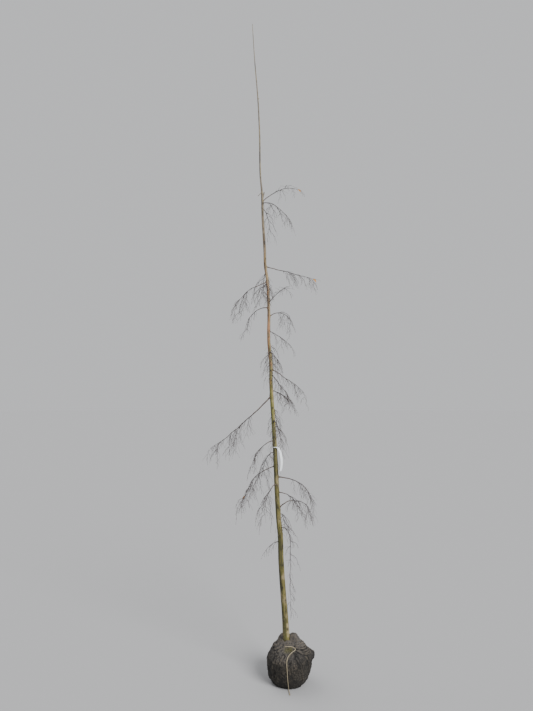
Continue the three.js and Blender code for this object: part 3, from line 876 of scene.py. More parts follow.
def grow_mass(room, limb, stem, joint, random):
    """All the twigs of one mass: along its stem in turn to both sides, and on each longer twig."""
    owner = "twigs_" + limb["name"]
    count = whole((1 - limb["bare"]) * limb_length(limb) / TWIG_SPACING)
    twigs = []

    def keep(twig, thick, toward):
        line = sampled(twig["line"])
        if twig["length"] < SHORTEST_TWIG or not room.is_free(owner, stem, line, thick / 2, CLEARANCE):
            return False
        room.take(owner, line, thick / 2)
        twigs.append(dict(twig, thick=thick, toward=toward))
        return True

    for i in range(count):
        onward = (i + between(DRAWS["place"], next(random))) / count
        share = joint + (1 - joint) * onward
        start = along_line(stem, onward)
        toward = turned(limb["toward"], i, DRAWS["aside"], random)
        slope = limb["rises"] + (limb["ends"] - limb["rises"]) * share ** limb["bends"]
        thick = min(TWIG_MOST, TWIG_SHARE * limb_thick(limb, share))
        twig = draw_twig(random, start, toward, max(slope, STEEPEST), limb["hangs"])
        if not keep(twig, thick, toward):
            continue
        sides = math.floor(twig["length"] / SIDE_SPACING)
        for k in range(sides):
            root = along_line(twig["line"], (k + SIDE_FROM) / (sides + SIDE_SPARE))
            aside = turned(toward, k, DRAWS["side_aside"], random)
            side = draw_twig(random, root, aside, SIDE_SLOPE, twig["length"] * SIDE_SHARE)
            keep(side, thick * SIDE_THICK, aside)
    return twigs


def grow_fine(room, limb, stem, toward, drawn, thick):
    """One fine twig as drawn, in a list, or an empty list where there is no room for it."""
    owner = "twigs_" + limb["name"]
    if not room.is_free(owner, stem, drawn[1:], thick / 2, SHOOT_CLEARANCE):
        return []
    room.take(owner, drawn[1:], thick / 2)
    return [{"drawn": drawn, "radii": tapered((thick, SHOOT_TIP), len(drawn)), "toward": toward}]


def grow_hangers(room, limb, stem, line, random):
    """The fine twigs that hang from a mass's stem between its own twigs, within the same space."""
    length = line_length(line)
    hangers = []
    count = int(length / HANGER_SPACING) if limb["hangs"] >= HANGER_LEAST else 0
    for k in range(count):
        share = (k + HANGER_PLACE + HANGER_PLAY * next(random)) * HANGER_SPACING / length
        toward = turned(limb["toward"], k, DRAWS["aside"], random)
        reach = limb["hangs"] * between(HANGER_SHARES, next(random))
        slopes = between(HANGER_SLOPES, next(random)), between(DRAWS["ends"], next(random))
        steps = steps_in(reach, DRAWN_STEP, least=4)
        drawn = arch_line(along_line(line, share), toward, reach, *slopes, HANGER_BENDS, steps)
        hangers += grow_fine(room, limb, stem, toward, drawn, HANGER_THICK)
    return hangers


def grow_shoots(room, limb, stem, parents, random):
    """The fine shoots on a mass's stem and twigs, within the same space."""
    shoots = []
    for parent in parents:
        line = parent["drawn"]
        length = line_length(line)
        for k in range(int(length / SHOOT_SPACING)):
            share = (k + SHOOT_PLACE + SHOOT_PLAY * next(random)) * SHOOT_SPACING / length
            root = along_line(line, share)
            x, y, z = along_line(line, min(1, share + LOOK_AHEAD)) - root
            plumb = abs(z) > PLUMB * np.hypot(x, y)
            toward = turned(
                parent["toward"] if plumb else math.degrees(math.atan2(y, x)), k, SHOOT_ASIDE, random)
            slope = max(SHOOT_STEEPEST, math.degrees(math.atan2(z, np.hypot(x, y)))) + SHOOT_RISE
            reach = between(SHOOT_LENGTHS, next(random) ** SHOOT_FEW_LONG)
            ends = slope - SHOOT_DROOP - SHOOT_DROOP_PLAY * next(random)
            drawn = arch_line(root, toward, reach, slope, ends, 1, steps_in(reach, DRAWN_STEP))
            shoots += grow_fine(room, limb, stem, toward, drawn, SHOOT_THICK)
    return shoots


@functools.lru_cache(maxsize=1)
def grown():
    """The whole crown: for each limb its bough's line, and all its stems, twigs and shoots as drawn."""
    room = Room()
    points, thick = trunk_at(np.linspace(TRUNK_FOOT, TREE_HEIGHT, TRUNK_SAMPLES))
    room.take("trunk", points, thick / 2)
    drops = np.arange(0, TAG_DROP + 1, TAG_SAMPLE)
    tag_points = trunk_at(TAG_HEIGHT)[0] + heading(TAG_TOWARD, 0) * TAG_OUT
    room.take("tag", tag_points - np.outer(drops, [0, 0, 1]), TAG_WIDTH / 2)
    limbs = []
    shares = np.linspace(0, 1, FINE_STEPS + 1)
    for limb in LIMBS:
        line, length = limb_line(limb), limb_length(limb)
        joint = limb["bare"] + (SEAT_GAP / length if limb["bare"] else 0)
        clear = shares * length > trunk_at(limb["height"])[1]
        for owner, mine in (("bough_", shares <= limb["bare"]), ("twigs_", shares > limb["bare"])):
            here = clear & mine
            room.take(owner + limb["name"], line[here], limb_thick(limb, shares[here]) / 2)
        stem = stretch(line, length, joint, 1, STEM_STEP)
        limbs.append({"limb": limb, "line": line, "joint": joint, "stem": stem})
    for number, each in enumerate(limbs):
        random = draws_from(SEED + SEED_STEP * number)
        each["twigs"] = grow_mass(room, each["limb"], each["stem"], each["joint"], random)
    for number, each in enumerate(limbs):
        limb = each["limb"]
        each["part"] = stretch(each["line"], limb_length(limb), each["joint"], 1, DRAWN_STEP)
        random = draws_from(SEED + HANGER_SEED * (number + 1))
        each["hangers"] = grow_hangers(room, limb, each["stem"], each["part"], random)
    for number, each in enumerate(limbs):
        limb, part = each["limb"], each["part"]
        radii = limb_thick(limb, between((each["joint"], 1), np.linspace(0, 1, len(part)))) / 2
        stem = {"drawn": part, "radii": radii, "toward": limb["toward"]}
        for twig in each["twigs"]:
            twig["drawn"] = smoothed(twig["line"], DRAWN_STEP)
            ends = twig["thick"] * DRAWN_COVER, SHOOT_TIP * DRAWN_COVER
            twig["radii"] = tapered(ends, len(twig["drawn"]))
        random = draws_from(SEED - SEED_STEP * (number + 1))
        parents = [stem, *each["twigs"], *each["hangers"]]
        each["drawn"] = [*parents, *grow_shoots(room, limb, each["stem"], parents, random)]
        for part in each["drawn"]:
            part["drawn"] = crooked(part["drawn"])
    return limbs


def crooked(line):
    """A line with the crooks of grown wood, the same for all that passes one place, so joints still meet."""
    away = np.hypot(*(line - trunk_at(line[:, 2])[0])[:, :2].T)
    fade = np.clip(away / CROOKS_FADE, CROOKS_LEFT, 1)[:, None]
    moved = line.copy()
    for wave, stray in CROOKS:
        for i, place in enumerate(line):
            pull = [noise.noise(Vector(place / wave + shift)) for shift in CROOK_SHIFTS]
            moved[i] += fade[i] * stray * np.array(pull)
    return moved


def curve_piece(name, lines, around, materials):
    """One mesh of tapering tubes: each line has its points, its radii in mm and its shade."""
    curve = bpy.data.curves.new(name, "CURVE")
    curve.dimensions = "3D"
    curve.bevel_depth = 1
    curve.bevel_resolution = around
    curve.use_fill_caps = True
    for points, radii, shade in lines:
        spline = curve.splines.new("POLY")
        spline.points.add(len(points) - 1)
        spline.points.foreach_set("co", np.column_stack([points * MM, np.ones(len(points))]).ravel())
        spline.points.foreach_set("radius", np.asarray(radii) * MM)
        spline.material_index = shade
    for material in materials:
        curve.materials.append(material)
    added(name, curve)
    bpy.ops.object.convert(target="MESH")
    mend(MERGE_TUBES)
    bpy.ops.object.shade_smooth()
    return settled(bpy.context.object, name)


# The Mix node's sockets for its share and its two colours, and its coloured result
MIX_SOCKETS = (0, 6, 7)
MIX_RESULT = 2


class Finish:
    """A new material, with short ways to add its nodes and to lay one coat of colour over another."""

    def __init__(self, name, roughness, base):
        self.material = bpy.data.materials.new(name)
        self.material.use_nodes = True
        self.tree = self.material.node_tree
        self.shader = self.tree.nodes["Principled BSDF"]
        self.shader.inputs["Roughness"].default_value = roughness
        self.where = self.add("ShaderNodeTexCoord").outputs
        self.base = base

    def add(self, kind, **inputs):
        node = self.tree.nodes.new(kind)
        for key, value in inputs.items():
            self.feed(node.inputs[key.replace("_", " ")], value)
        return node

    def feed(self, socket, value):
        if isinstance(value, bpy.types.NodeSocket):
            self.tree.links.new(value, socket)
        elif hasattr(value, "__len__") and len(value) == 3 and socket.type == "RGBA":
            socket.default_value = (*value, 1)
        else:
            socket.default_value = value

    def placed(self, scale, vector=None):
        """The piece's own coordinates, or the given ones, scaled."""
        return self.add("ShaderNodeMapping", Vector=vector or self.where["Object"], Scale=scale).outputs[0]

    def noise(self, *waves, detail=3.0, roughness=0.5):
        """Smooth noise from 0 to 1, so many waves a metre on all axes or on each of the three."""
        where = self.placed(waves if len(waves) == 3 else waves * 3)
        node = self.add("ShaderNodeTexNoise", Vector=where, Scale=1.0, Detail=detail, Roughness=roughness)
        return node.outputs["Fac"]

    def cells(self, *waves):
        """The distance to the nearest of many scattered points, so many a metre on each axis."""
        return self.add("ShaderNodeTexVoronoi", Vector=self.placed(waves), Scale=1.0).outputs["Distance"]

    def ranged(self, value, low, high, to_low=0.0, to_high=1.0):
        """A number that goes from to_low to to_high while the value goes from low to high."""
        node = self.add("ShaderNodeMapRange", Value=value)
        for key, number in zip(("From Min", "From Max", "To Min", "To Max"), (low, high, to_low, to_high)):
            node.inputs[key].default_value = number
        return node.outputs[0]

    def math(self, how, *values):
        node = self.tree.nodes.new("ShaderNodeMath")
        node.operation = how
        for socket, value in zip(node.inputs, values):
            self.feed(socket, value)
        return node.outputs[0]

    def times(self, one, other):
        return self.math("MULTIPLY", one, other)

    def plus(self, one, other):
        return self.math("ADD", one, other)

    def mixed(self, share, one, other):
        node = self.tree.nodes.new("ShaderNodeMix")
        node.data_type = "RGBA"
        for socket, value in zip(MIX_SOCKETS, (share, one, other)):
            self.feed(node.inputs[socket], value)
        return node.outputs[MIX_RESULT]

    def coat(self, colour, pattern, *span):
        """Lays a colour over the base by the pattern, or by the part of the pattern that a span takes."""
        self.base = self.mixed(self.ranged(pattern, *span) if span else pattern, self.base, colour)

    def attribute(self, name):
        node = self.tree.nodes.new("ShaderNodeAttribute")
        node.attribute_name = name
        return node.outputs["Fac"]

    def height(self):
        return self.add("ShaderNodeSeparateXYZ", Vector=self.where["Object"]).outputs[2]

    def coloured(self):
        self.feed(self.shader.inputs["Base Color"], self.base)
        return self.material

    def embossed(self, height, distance, strength=1.0):
        """The finished material, with a fine relief so many metres deep."""
        node = self.add("ShaderNodeBump", Height=height, Distance=distance, Strength=strength)
        self.feed(self.shader.inputs["Normal"], node.outputs[0])
        return self.coloured()


def trunk_bark(colours):
    """Olive bark that turns tan, then grey, with painted light on the right side, a green film and painted
    shade on the left, stains, flecks and knots.
    """
    n = Finish("trunk_bark", 0.62, colours.bark_low)
    height, side = n.height(), n.attribute("side")
    for low, high, name in BARK_BANDS:
        n.coat(getattr(colours, name), height, low, high)
    # Painted light: the right side, towards the key sun, is painted warmer and paler in patches
    lit = n.times(n.ranged(side, 0.0, 0.8), n.ranged(n.noise(30, 30, 6), 0.3, 0.62))
    n.coat(colours.bark_warm_and_painted_light, n.times(lit, n.ranged(height, 3.4, 1.4, 0.75, 0.5)))
    # A green film on the left side, painted dark there as painted shade too
    shade = n.times(n.ranged(side, 0.2, -0.7), n.ranged(n.noise(18, 18, 5), 0.3, 0.58))
    n.coat(colours.algae_and_painted_shade, n.times(shade, n.ranged(height, 3.2, 1.6, 0.2, 0.85)))
    # Blotches, wet runs and streaks, which are pale at one end of their range and dark at the other
    blotches = n.noise(30, 30, 11, detail=4.0, roughness=0.6)
    n.coat(colours.bark_pale, blotches, 0.54, 0.66, 0, 0.5)
    n.coat(colours.algae_and_painted_shade, blotches, 0.44, 0.34, 0, 0.6)
    runs = n.noise(95, 95, 4, detail=4.0, roughness=0.6)
    n.coat(colours.bark_dark, runs, 0.53, 0.64, 0, 0.5)
    n.coat(colours.bark_warm_and_painted_light, runs, 0.46, 0.34, 0, 0.5)
    streaks = n.noise(75, 75, 14, detail=6.0, roughness=0.68)
    n.coat(colours.bark_dark, streaks, 0.5, 0.62, 0, 0.8)
    # Dark specks in groups, and pale flecks between the streaks
    specks = n.times(n.ranged(n.cells(38, 38, 72), 0.27, 0.14), n.ranged(n.noise(60), 0.42, 0.6))
    n.coat(colours.bark_dark, specks)
    flecks = n.times(n.ranged(n.cells(95, 95, 330), 0.2, 0.1), n.ranged(streaks, 0.56, 0.44))
    n.coat(colours.bark_pale, n.times(flecks, 0.42))
    # The belt that peels, the scuffed foot and the knots
    peeling = n.times(n.ranged(height, 1.9, 2.2), n.ranged(height, 3.0, 2.7))
    patches = n.ranged(n.noise(42, 42, 9, detail=4.0, roughness=0.6), 0.5, 0.58, 0, 0.6)
    n.coat(colours.bark_peeled, n.times(peeling, patches))
    worn = n.ranged(n.noise(70, 70, 24, detail=6.0, roughness=0.7), 0.44, 0.54, 0.12, 1.0)
    n.coat(colours.bark_pale, n.times(n.attribute("scuff"), worn))
    n.coat(colours.bark_dark, n.attribute("knot"))
    n.feed(n.shader.inputs["Roughness"], n.ranged(streaks, 0.3, 0.7, 0.5, 0.8))
    relief = n.plus(n.times(streaks, 0.9), n.times(n.noise(420, 420, 60, detail=4.0), 0.5))
    return n.embossed(n.plus(relief, n.times(flecks, 0.5)), 0.001, 0.9)


def bough_bark(colours):
    """Purple-brown bark with dark patches, pale flecks and a grey bloom."""
    n = Finish("bough_bark", 0.6, colours.bough)
    n.coat(colours.twig, n.noise(90, detail=4.0), 0.35, 0.65)
    flecks = n.ranged(n.cells(320, 320, 320), 0.3, 0.16)
    n.coat(colours.bark_pale, n.times(flecks, 0.35))
    n.coat(colours.bark_leader, n.noise(30), 0.46, 0.64, 0, 0.5)
    return n.embossed(n.plus(n.noise(500), flecks), 0.0004, 0.8)


def twig_bark(colours, number):
    """One of the plain twig colours that are dealt out twig by twig."""
    share = TWIG_PALEST * number / (TWIG_SHADES - 1)
    plain = tuple(between(ends, share) for ends in zip(colours.twig, colours.bough))
    n = Finish(f"twig_bark_{number}", 0.5, plain)
    return n.embossed(n.noise(700, detail=2.0), 0.00025, 0.7)


def plain_finish(name, value, *, roughness, waves, relief, darkest=0.72):
    """One colour, darker in patches, with a fine uneven surface."""
    n = Finish(name, roughness, tuple(darkest * c for c in value))
    patches = n.noise(waves, detail=4.0)
    n.coat(tuple(value), patches, 0.35, 0.65)
    return n.embossed(patches, relief, 0.8)


def hessian(colours, pitch):
    """Stained open weave: over and under threads along the piece's UV map, soil, damp and dry fibres, with
    painted light on the crests and the top and painted shade in the troughs, the hollows and at the foot.
    """
    n = Finish("hessian", 0.95, colours.wrap_damp_and_painted_shade)
    threads = n.placed((1 / pitch, 1 / pitch, 1), n.where["UV"])
    uneven = n.add("ShaderNodeTexNoise", Vector=n.where["Object"], Scale=THREAD_WAVES, Detail=2.0)
    wander = n.tree.nodes.new("ShaderNodeVectorMath")
    wander.operation = "MULTIPLY_ADD"
    for socket, value in zip(wander.inputs, (uneven.outputs["Color"], THREAD_WANDER, threads)):
        n.feed(socket, value)
    across = n.add("ShaderNodeSeparateXYZ", Vector=wander.outputs[0]).outputs
    warp, weft = (n.math("ABSOLUTE", n.math("SINE", n.times(across[axis], math.pi))) for axis in (0, 1))
    over = n.add("ShaderNodeTexChecker", Vector=wander.outputs[0], Scale=1.0).outputs["Fac"]
    woven = n.mixed(over, warp, weft)
    height, raised = n.height(), n.attribute("raised")
    soil = n.noise(26, detail=6.0, roughness=0.65)
    patches = n.noise(9)
    clods = n.noise(130, detail=5.0, roughness=0.72)
    fibres = n.noise(420, 420, 150, roughness=0.7)
    n.coat(colours.wrap, soil, 0.44, 0.62)
    # Paler and greyer towards the top, in patches: partly the grey cloth of the gathered top, partly painted
    # light from above
    top = n.ranged(height, 0.16, 0.25, 0.06, 1.0)
    n.coat(colours.wrap_grey_and_painted_light, n.times(top, n.ranged(patches, 0.4, 0.6, 0.35, 0.85)))
    # Pale clods, stronger higher up, partly as painted light from above
    dry = n.times(n.ranged(clods, 0.5, 0.62), n.ranged(patches, 0.42, 0.6, 0.25, 0.9))
    n.coat(colours.wrap_pale_and_painted_light, n.times(dry, n.ranged(height, 0.1, 0.2, 0.5, 1.0)))
    # Damp clods, dry fibres, gaps of the weave, painted highlight on the crests and painted shade in the
    # troughs, painted shade towards the foot and in the hollows, and moss
    n.coat(colours.wrap_damp_and_painted_shade, clods, 0.46, 0.36, 0, 0.85)
    n.coat(colours.wrap_pale_and_painted_light, fibres, 0.56, 0.66, 0, 0.42)
    n.coat(colours.wrap_damp_and_painted_shade, woven, 0.5, 0.15, 0, 0.6)
    # Painted highlight on the crests of the cloth, painted shade in its troughs
    n.coat(colours.wrap_pale_and_painted_light, raised, 0.2, 0.9, 0, 0.6)
    n.coat(colours.wrap_damp_and_painted_shade, raised, 0.05, -0.5, 0, 0.9)
    # Painted shade: darker towards the foot
    n.coat(colours.wrap_damp_and_painted_shade, height, 0.075, 0.0, 0, 0.75)
    # Painted shade in the hollows
    n.coat(colours.wrap_damp_and_painted_shade, n.attribute("deep"))
    n.coat(colours.bark_low, n.times(n.attribute("moss"), n.ranged(clods, 0.35, 0.6, 0.15, 0.7)))
    relief = n.plus(n.times(woven, 0.45), n.times(clods, 1.6))
    return n.embossed(n.plus(relief, n.times(fibres, 0.5)), 0.0028)


def trunk_frame(places):
    """For points near the trunk: its middle and radius at their heights, and their direction from it."""
    middle, thick = trunk_at(np.clip(places[:, 2], TRUNK_FOOT, TREE_HEIGHT))
    out = places[:, :2] - middle[:, :2]
    return middle, thick / 2, np.arctan2(out[:, 1], out[:, 0])


def brow(up, aside, form, wide):
    """An arched crease of bark."""
    return hump((up + form["bend"] * np.abs(aside)) / form["thin"], aside / wide)


def trunk_relief(places, radius, around, collar):
    """How far the bark stands out at each point in mm, and how much of it is knot and scuffed foot."""
    relief, knots = np.zeros(len(places)), np.zeros(len(places))

    def spot(height, toward):
        angle = np.angle(np.exp(1j * (around - math.radians(toward))))
        return places[:, 2] - height, angle * radius

    form = LIMB_BROW
    for limb in LIMBS:
        thick = limb["thick"]
        up, aside = spot(limb["height"] - COLLAR_BELOW, limb["toward"])
        wide, tall = (share * thick + more for share, more in (COLLAR_WIDE, COLLAR_TALL))
        relief += collar * min(1, thick / COLLAR_FULL) * hump(aside / wide, up / tall)
        crease = brow(up - form["up"] - form["share"] * thick, aside, form, form["wide"])
        relief += form["relief"] * crease
        knots += form["dark"] * crease
    form = KNOT_BROW
    for height, toward, size in KNOTS:
        up, aside = spot(height, toward)
        away = np.hypot(up * KNOT_TALL, aside)
        relief += KNOT_RIM[0] * size * hump((away - size) / (KNOT_RIM[1] * size))
        relief -= KNOT_PIT[0] * size * hump(away / (KNOT_PIT[1] * size))
        knots += KNOT_DARK[0] * hump(away / (KNOT_DARK[1] * size), power=4)
        knots += form["dark"] * brow(up - form["share"] * size, aside, form, form["wide"] * size)
    height, toward, tall, wide = SCUFF
    up, aside = spot(height, toward)
    ragged = 1 + SCUFF_RAGGED * noise_at(places, SCUFF_WAVE)
    worn = hump(up / (tall * ragged), power=4) * hump(aside / (wide * ragged))
    scuff = np.clip(SCUFF_CORE * worn - SCUFF_EDGE, 0, DARKEST)
    return relief, np.clip(knots, 0, DARKEST), scuff


class SAPLING_OT_trunk(Operator):
    """Extrudes the trunk ring by ring and gives it bark, knots and a collar at each limb"""

    bl_idname = "sapling.trunk"
    bl_label = "Trunk"

    def execute(self, context):
        sizes, colours = context.scene.sapling_sizes, context.scene.sapling_colours
        steps = int((TREE_HEIGHT - TRUNK_FOOT) * MM / sizes.ring_step)
        rings, thick = trunk_at(np.linspace(TRUNK_FOOT, TREE_HEIGHT, steps + 1))
        trunk = self.extruded(rings * MM, thick * MM / 2)
        apply_modifier(trunk, "SUBSURF", levels=TRUNK_LEVELS, render_levels=TRUNK_LEVELS)
        places = corners(trunk)
        middle, radius, around = trunk_frame(places)
        relief, knots, scuff = trunk_relief(places, radius, around, sizes.collar_height / MM)
        uneven = noise_at(places, BARK_WAVE, BARK_STRETCH, BARK_OCTAVES) * sizes.bark_relief / MM
        relief = relief * np.minimum(1, radius / RELIEF_FULL) + uneven * np.minimum(1, radius / BARK_FULL)
        reach = np.hypot(*(places - middle)[:, :2].T)
        wanted = np.where(reach > SIDE_STARTS * radius, radius + relief, reach)
        places[:, 0] = middle[:, 0] + wanted * np.cos(around)
        places[:, 1] = middle[:, 1] + wanted * np.sin(around)
        move_corners(trunk, places)
        # side is 1 on the right and -1 on the left, for the bark's painted light and painted shade
        note(trunk, side=np.cos(around), knot=knots, scuff=scuff)
        bark = trunk_bark(colours)
        trunk.data.materials.append(bark)
        stubs = self.stubs(bark)
        choose(trunk, stubs)
        bpy.ops.object.join()
        bpy.ops.object.shade_smooth()
        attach(settled(trunk, "trunk_bark"), "root")
        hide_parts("trunk")
        return {"FINISHED"}

    @staticmethod
    def extruded(rings, radii):
        """A closed tube of level rings, extruded upwards from a circle."""
        deselect()
        bpy.ops.mesh.primitive_circle_add(
            vertices=TRUNK_SIDES, radius=radii[0], fill_type="NGON", location=tuple(rings[0]))
        trunk = place_applied()
        bpy.ops.object.mode_set(mode="EDIT")
        bpy.ops.mesh.select_all(action="SELECT")
        for i in range(1, len(rings)):
            step = rings[i] - rings[i - 1]
            bpy.ops.mesh.extrude_region_move(TRANSFORM_OT_translate={"value": tuple(step)})
            grow = radii[i] / radii[i - 1]
            bpy.ops.transform.resize(value=(grow, grow, 1), center_override=tuple(rings[i]))
        bpy.ops.mesh.select_all(action="SELECT")
        bpy.ops.mesh.normals_make_consistent(inside=False)
        bpy.ops.object.mode_set(mode="OBJECT")
        return trunk

    @staticmethod
    def stubs(bark):
        """The cut ends and dead points that stand on the trunk."""
        lines = []
        for height, toward, length, thick, slope in STUBS:
            shares = np.linspace(0, 1, STUB_POINTS)
            points = trunk_at(height)[0] + np.outer(shares * length, heading(toward, slope))
            radii = thick / 2 * (1 - STUB_NARROWS * shares)
            radii[-1] *= STUB_END
            lines.append((points, radii, 0))
        return curve_piece("stubs", lines, STUB_ROUND, [bark])


class SAPLING_OT_boughs(Operator):
    """Lofts the bare part of each limb, with a flared root and bark relief"""

    bl_idname = "sapling.boughs"
    bl_label = "Boughs"

    def execute(self, context):
        colours = context.scene.sapling_colours
        lines, names = [], []
        for number, each in enumerate(grown()):
            limb = each["limb"]
            if not limb["bare"]:
                continue
            length = limb_length(limb)
            points = stretch(each["line"], length, 0, limb["bare"], BOUGH_STEP)
            shares = np.linspace(0, limb["bare"], len(points))
            gone = shares * length - trunk_at(limb["height"])[1] / 2
            flare = 1 + FLARE * np.exp(-np.clip(gone, 0, None) / FLARE_ENDS)
            spots = [(s * length / LUMP_WAVE, number * LUMP_APART, 0) for s in shares]
            lump = np.array([noise.noise(Vector(spot)) for spot in spots])
            radii = limb_thick(limb, shares) / 2 * flare * (1 + LUMP_HEIGHT * lump)
            lines.append((crooked(points), radii, 0))
            names.append("bough_" + limb["name"])
        boughs = curve_piece("bough_bark", lines, BOUGH_ROUND, [bough_bark(colours)])
        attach(boughs, "root")
        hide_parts(*names)
        return {"FINISHED"}


class SAPLING_OT_twigs(Operator):
    """Grows all stems, twigs and fine shoots as tapering tubes, in an upper and a lower piece"""

    bl_idname = "sapling.twigs"
    bl_label = "Twigs"

    def execute(self, context):
        colours = context.scene.sapling_colours
        barks = [twig_bark(colours, i) for i in range(TWIG_SHADES)]
        upper = [each for each in grown() if each["limb"]["height"] > CROWN_SPLIT]
        lower = [each for each in grown() if each["limb"]["height"] <= CROWN_SPLIT]
        self.piece("twigs_above", upper, barks)
        self.piece("twigs_below", lower, barks)
        return {"FINISHED"}

    @staticmethod
    def piece(name, masses, barks):
        lines = []
        for mass in masses:
            for line in mass["drawn"]:
                radii = line["radii"].copy()
                radii[-1] *= TWIG_END
                lines.append((line["drawn"], radii, len(lines) % TWIG_SHADES))
        twigs = curve_piece(name, lines, TWIG_ROUND, barks)
        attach(twigs, "root")
        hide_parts(*("twigs_" + mass["limb"]["name"] for mass in masses))


def bud_form():
    """One pointed bud that stands on the origin along Z, as corner places and faces."""
    half = 0.5
    deselect()
    bpy.ops.mesh.primitive_uv_sphere_add(
        segments=BUD_SIDES, ring_count=BUD_RINGS, radius=half, location=(0, 0, half))
    bud = place_applied()
    places = corners(bud) * MM
    up = np.clip(places[:, 2], 0, 1)
    places[:, :2] *= (BUD_WIDE * (1 - BUD_NARROWS * up) / half + BUD_BLUNT)[:, None]
    faces = sorted(tuple(f.vertices) for f in bud.data.polygons)
    bpy.data.objects.remove(bud)
    return places, faces


class SAPLING_OT_buds(Operator):
    """Sets a winter bud at every node of the twigs, in turn to each side, and one at each tip"""

    bl_idname = "sapling.buds"
    bl_label = "Buds"

    def execute(self, context):
        sizes, colours = context.scene.sapling_sizes, context.scene.sapling_colours
        form, form_faces = bud_form()
        places, faces = [], []
        for each in grown():
            for line in each["drawn"]:
                for root, out, scale in self.bud_seats(line, sizes.bud_spacing / MM):
                    faces += [tuple(len(places) * len(form) + v for v in face) for face in form_faces]
                    turn = Vector((0, 0, 1)).rotation_difference(Vector(out)).to_matrix()
                    places.append(form @ np.array(turn).T * scale * sizes.bud_length / MM + root)
        mesh = bpy.data.meshes.new("buds")
        mesh.from_pydata(np.vstack(places) * MM, [], faces)
        finish = plain_finish("bud_scales", colours.bud, roughness=0.45, waves=900, relief=0.0002)
        mesh.materials.append(finish)
        buds = added("buds", mesh)
        bpy.ops.object.shade_smooth()
        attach(buds, "root")
        return {"FINISHED"}

    @staticmethod
    def bud_seats(line, spacing):
        """Where the buds of one line stand, which way they point and how large they are."""
        points, radii = line["drawn"], line["radii"]
        length = line_length(points)
        for k in range(1, int(length / spacing) + 1):
            place = (k - BUD_PLACE) * spacing / length * (len(points) - 1)
            i = min(int(place), len(points) - 2)
            step = points[i + 1] - points[i]
            ahead = step / np.linalg.norm(step)
            across = np.cross(ahead, BUD_SIDEWAYS[int(abs(ahead[2]) >= BUD_UPRIGHT)])
            across = across / np.linalg.norm(across) * (1 if k % 2 else -1)
            root = points[i] + step * (place - i) + across * radii[i] * BUD_SEAT
            scale = BUD_SIZE + BUD_PLAY * math.sin(k * BUD_CHANGE)
            yield root, ahead * BUD_AHEAD + across * BUD_ASIDE, scale
        step = points[-1] - points[-2]
        ahead = step / np.linalg.norm(step)
        yield points[-1] - ahead, ahead, BUD_AT_TIP


class SAPLING_OT_leaves(Operator):
    """Shapes the few dry leaves that still hang on"""

    bl_idname = "sapling.leaves"
    bl_label = "Leaves"

    def execute(self, context):
        colours = context.scene.sapling_colours
        pieces = []
        for name, length, width, share, toward in LEAVES:
            line = next(each["line"] for each in grown() if each["limb"]["name"] == name)
            root = crooked(along_line(line, share)[None])[0]
            pieces.append(self.leaf(root, length, width, toward))
        choose(*pieces)
        bpy.ops.object.join()
        leaves = settled(bpy.context.object, "leaves")
        finish = plain_finish("dry_leaf", colours.leaf, roughness=0.7, waves=160, relief=0.0004)
        leaves.data.materials.append(finish)
        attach(leaves, "root")
        return {"FINISHED"}

    @staticmethod
    def leaf(root, length, width, toward):
        """One curled blade with a midrib and side veins."""
        deselect()
        bpy.ops.mesh.primitive_grid_add(x_subdivisions=LEAF_GRID[0], y_subdivisions=LEAF_GRID[1], size=1)
        leaf = bpy.context.object
        places = corners(leaf) * MM
        along, across = places[:, 0] + 0.5, places[:, 1] * 2
        blade, full, narrows, least = LEAF_OUTLINE
        outline = np.sin(np.pi * np.clip(along, 0, 1) ** blade) ** full * (1 - narrows * along) + least
        x = along * length
        y = across * outline * width / 2
        aside = np.abs(across)
        veins = VEIN_HEIGHT * np.sin(along * VEIN_WAVES + aside * VEIN_SLANT) * (aside > MIDRIB)
        cup, cup_bend = LEAF_CUP
        sinks, sinks_bend = LEAF_SINKS
        z = cup * width * (aside * outline) ** cup_bend + veins - sinks * x ** sinks_bend * along
        turn = Matrix.Identity(3)
        for angle, axis in ((toward, "Z"), (LEAF_DROOP, "Y"), (LEAF_ROLL, "X")):
            turn = turn @ Matrix.Rotation(math.radians(angle), 3, axis)
        move_corners(leaf, np.column_stack([x, y, z]) @ np.array(turn).T + root)
        apply_modifier(leaf, "SOLIDIFY", thickness=LEAF_THICK * MM, offset=0)
        bpy.ops.object.shade_smooth()
        return leaf


def ball_point(toward, share):
    """Points on the wrapped ball's smooth side."""
    toward, share = np.asarray(toward, float), np.asarray(share, float)
    rows = smooth_rows(BALL_SIDE, share * (len(BALL_SIDE) - 1))
    height, reach = rows[..., 0], rows[..., 1]
    for at, high, change, wide, tall in BALL_SWELLS:
        aside = ((toward - at + 180) % 360 - 180) / wide
        reach = reach + change * hump(aside, (height - high) / tall)
    slide = trunk_at(TRUNK_FOOT)[0][0] * (height / BALL_HEIGHT) ** 2
    angle = np.radians(toward)
    return np.stack([slide + reach * np.cos(angle), reach * np.sin(angle), height], -1)


def off_ball(toward, share, distance):
    """Points that stand off the ball's side by the given distance."""
    around = ball_point(toward + LOOK_ROUND, share) - ball_point(toward - LOOK_ROUND, share)
    upward = ball_point(toward, share + LOOK_UP) - ball_point(toward, share - LOOK_UP)
    out = np.cross(around, upward)
    return ball_point(toward, share) + distance * out / np.linalg.norm(out, axis=-1, keepdims=True)


def nearest(places, line):
    """The distance from each place to the nearest point of a line."""
    best = np.full(len(places), np.inf)
    for point in line:
        best = np.minimum(best, ((places - point) ** 2).sum(1))
    return np.sqrt(best)


def twine_line(count):
    """The twine's middle line over the ball and along the ground, in so many points."""
    route = smooth_rows(TWINE_ROUTE, np.linspace(0, len(TWINE_ROUTE) - 1, TWINE_POINTS))
    held = off_ball(route[:, 0], route[:, 1], TWINE_THICK / 2 + TWINE_OFF)
    knots = np.vstack([held[::TWINE_KEEPS], TWINE_TAIL])
    return smooth_rows(knots, np.linspace(0, len(knots) - 1, count))


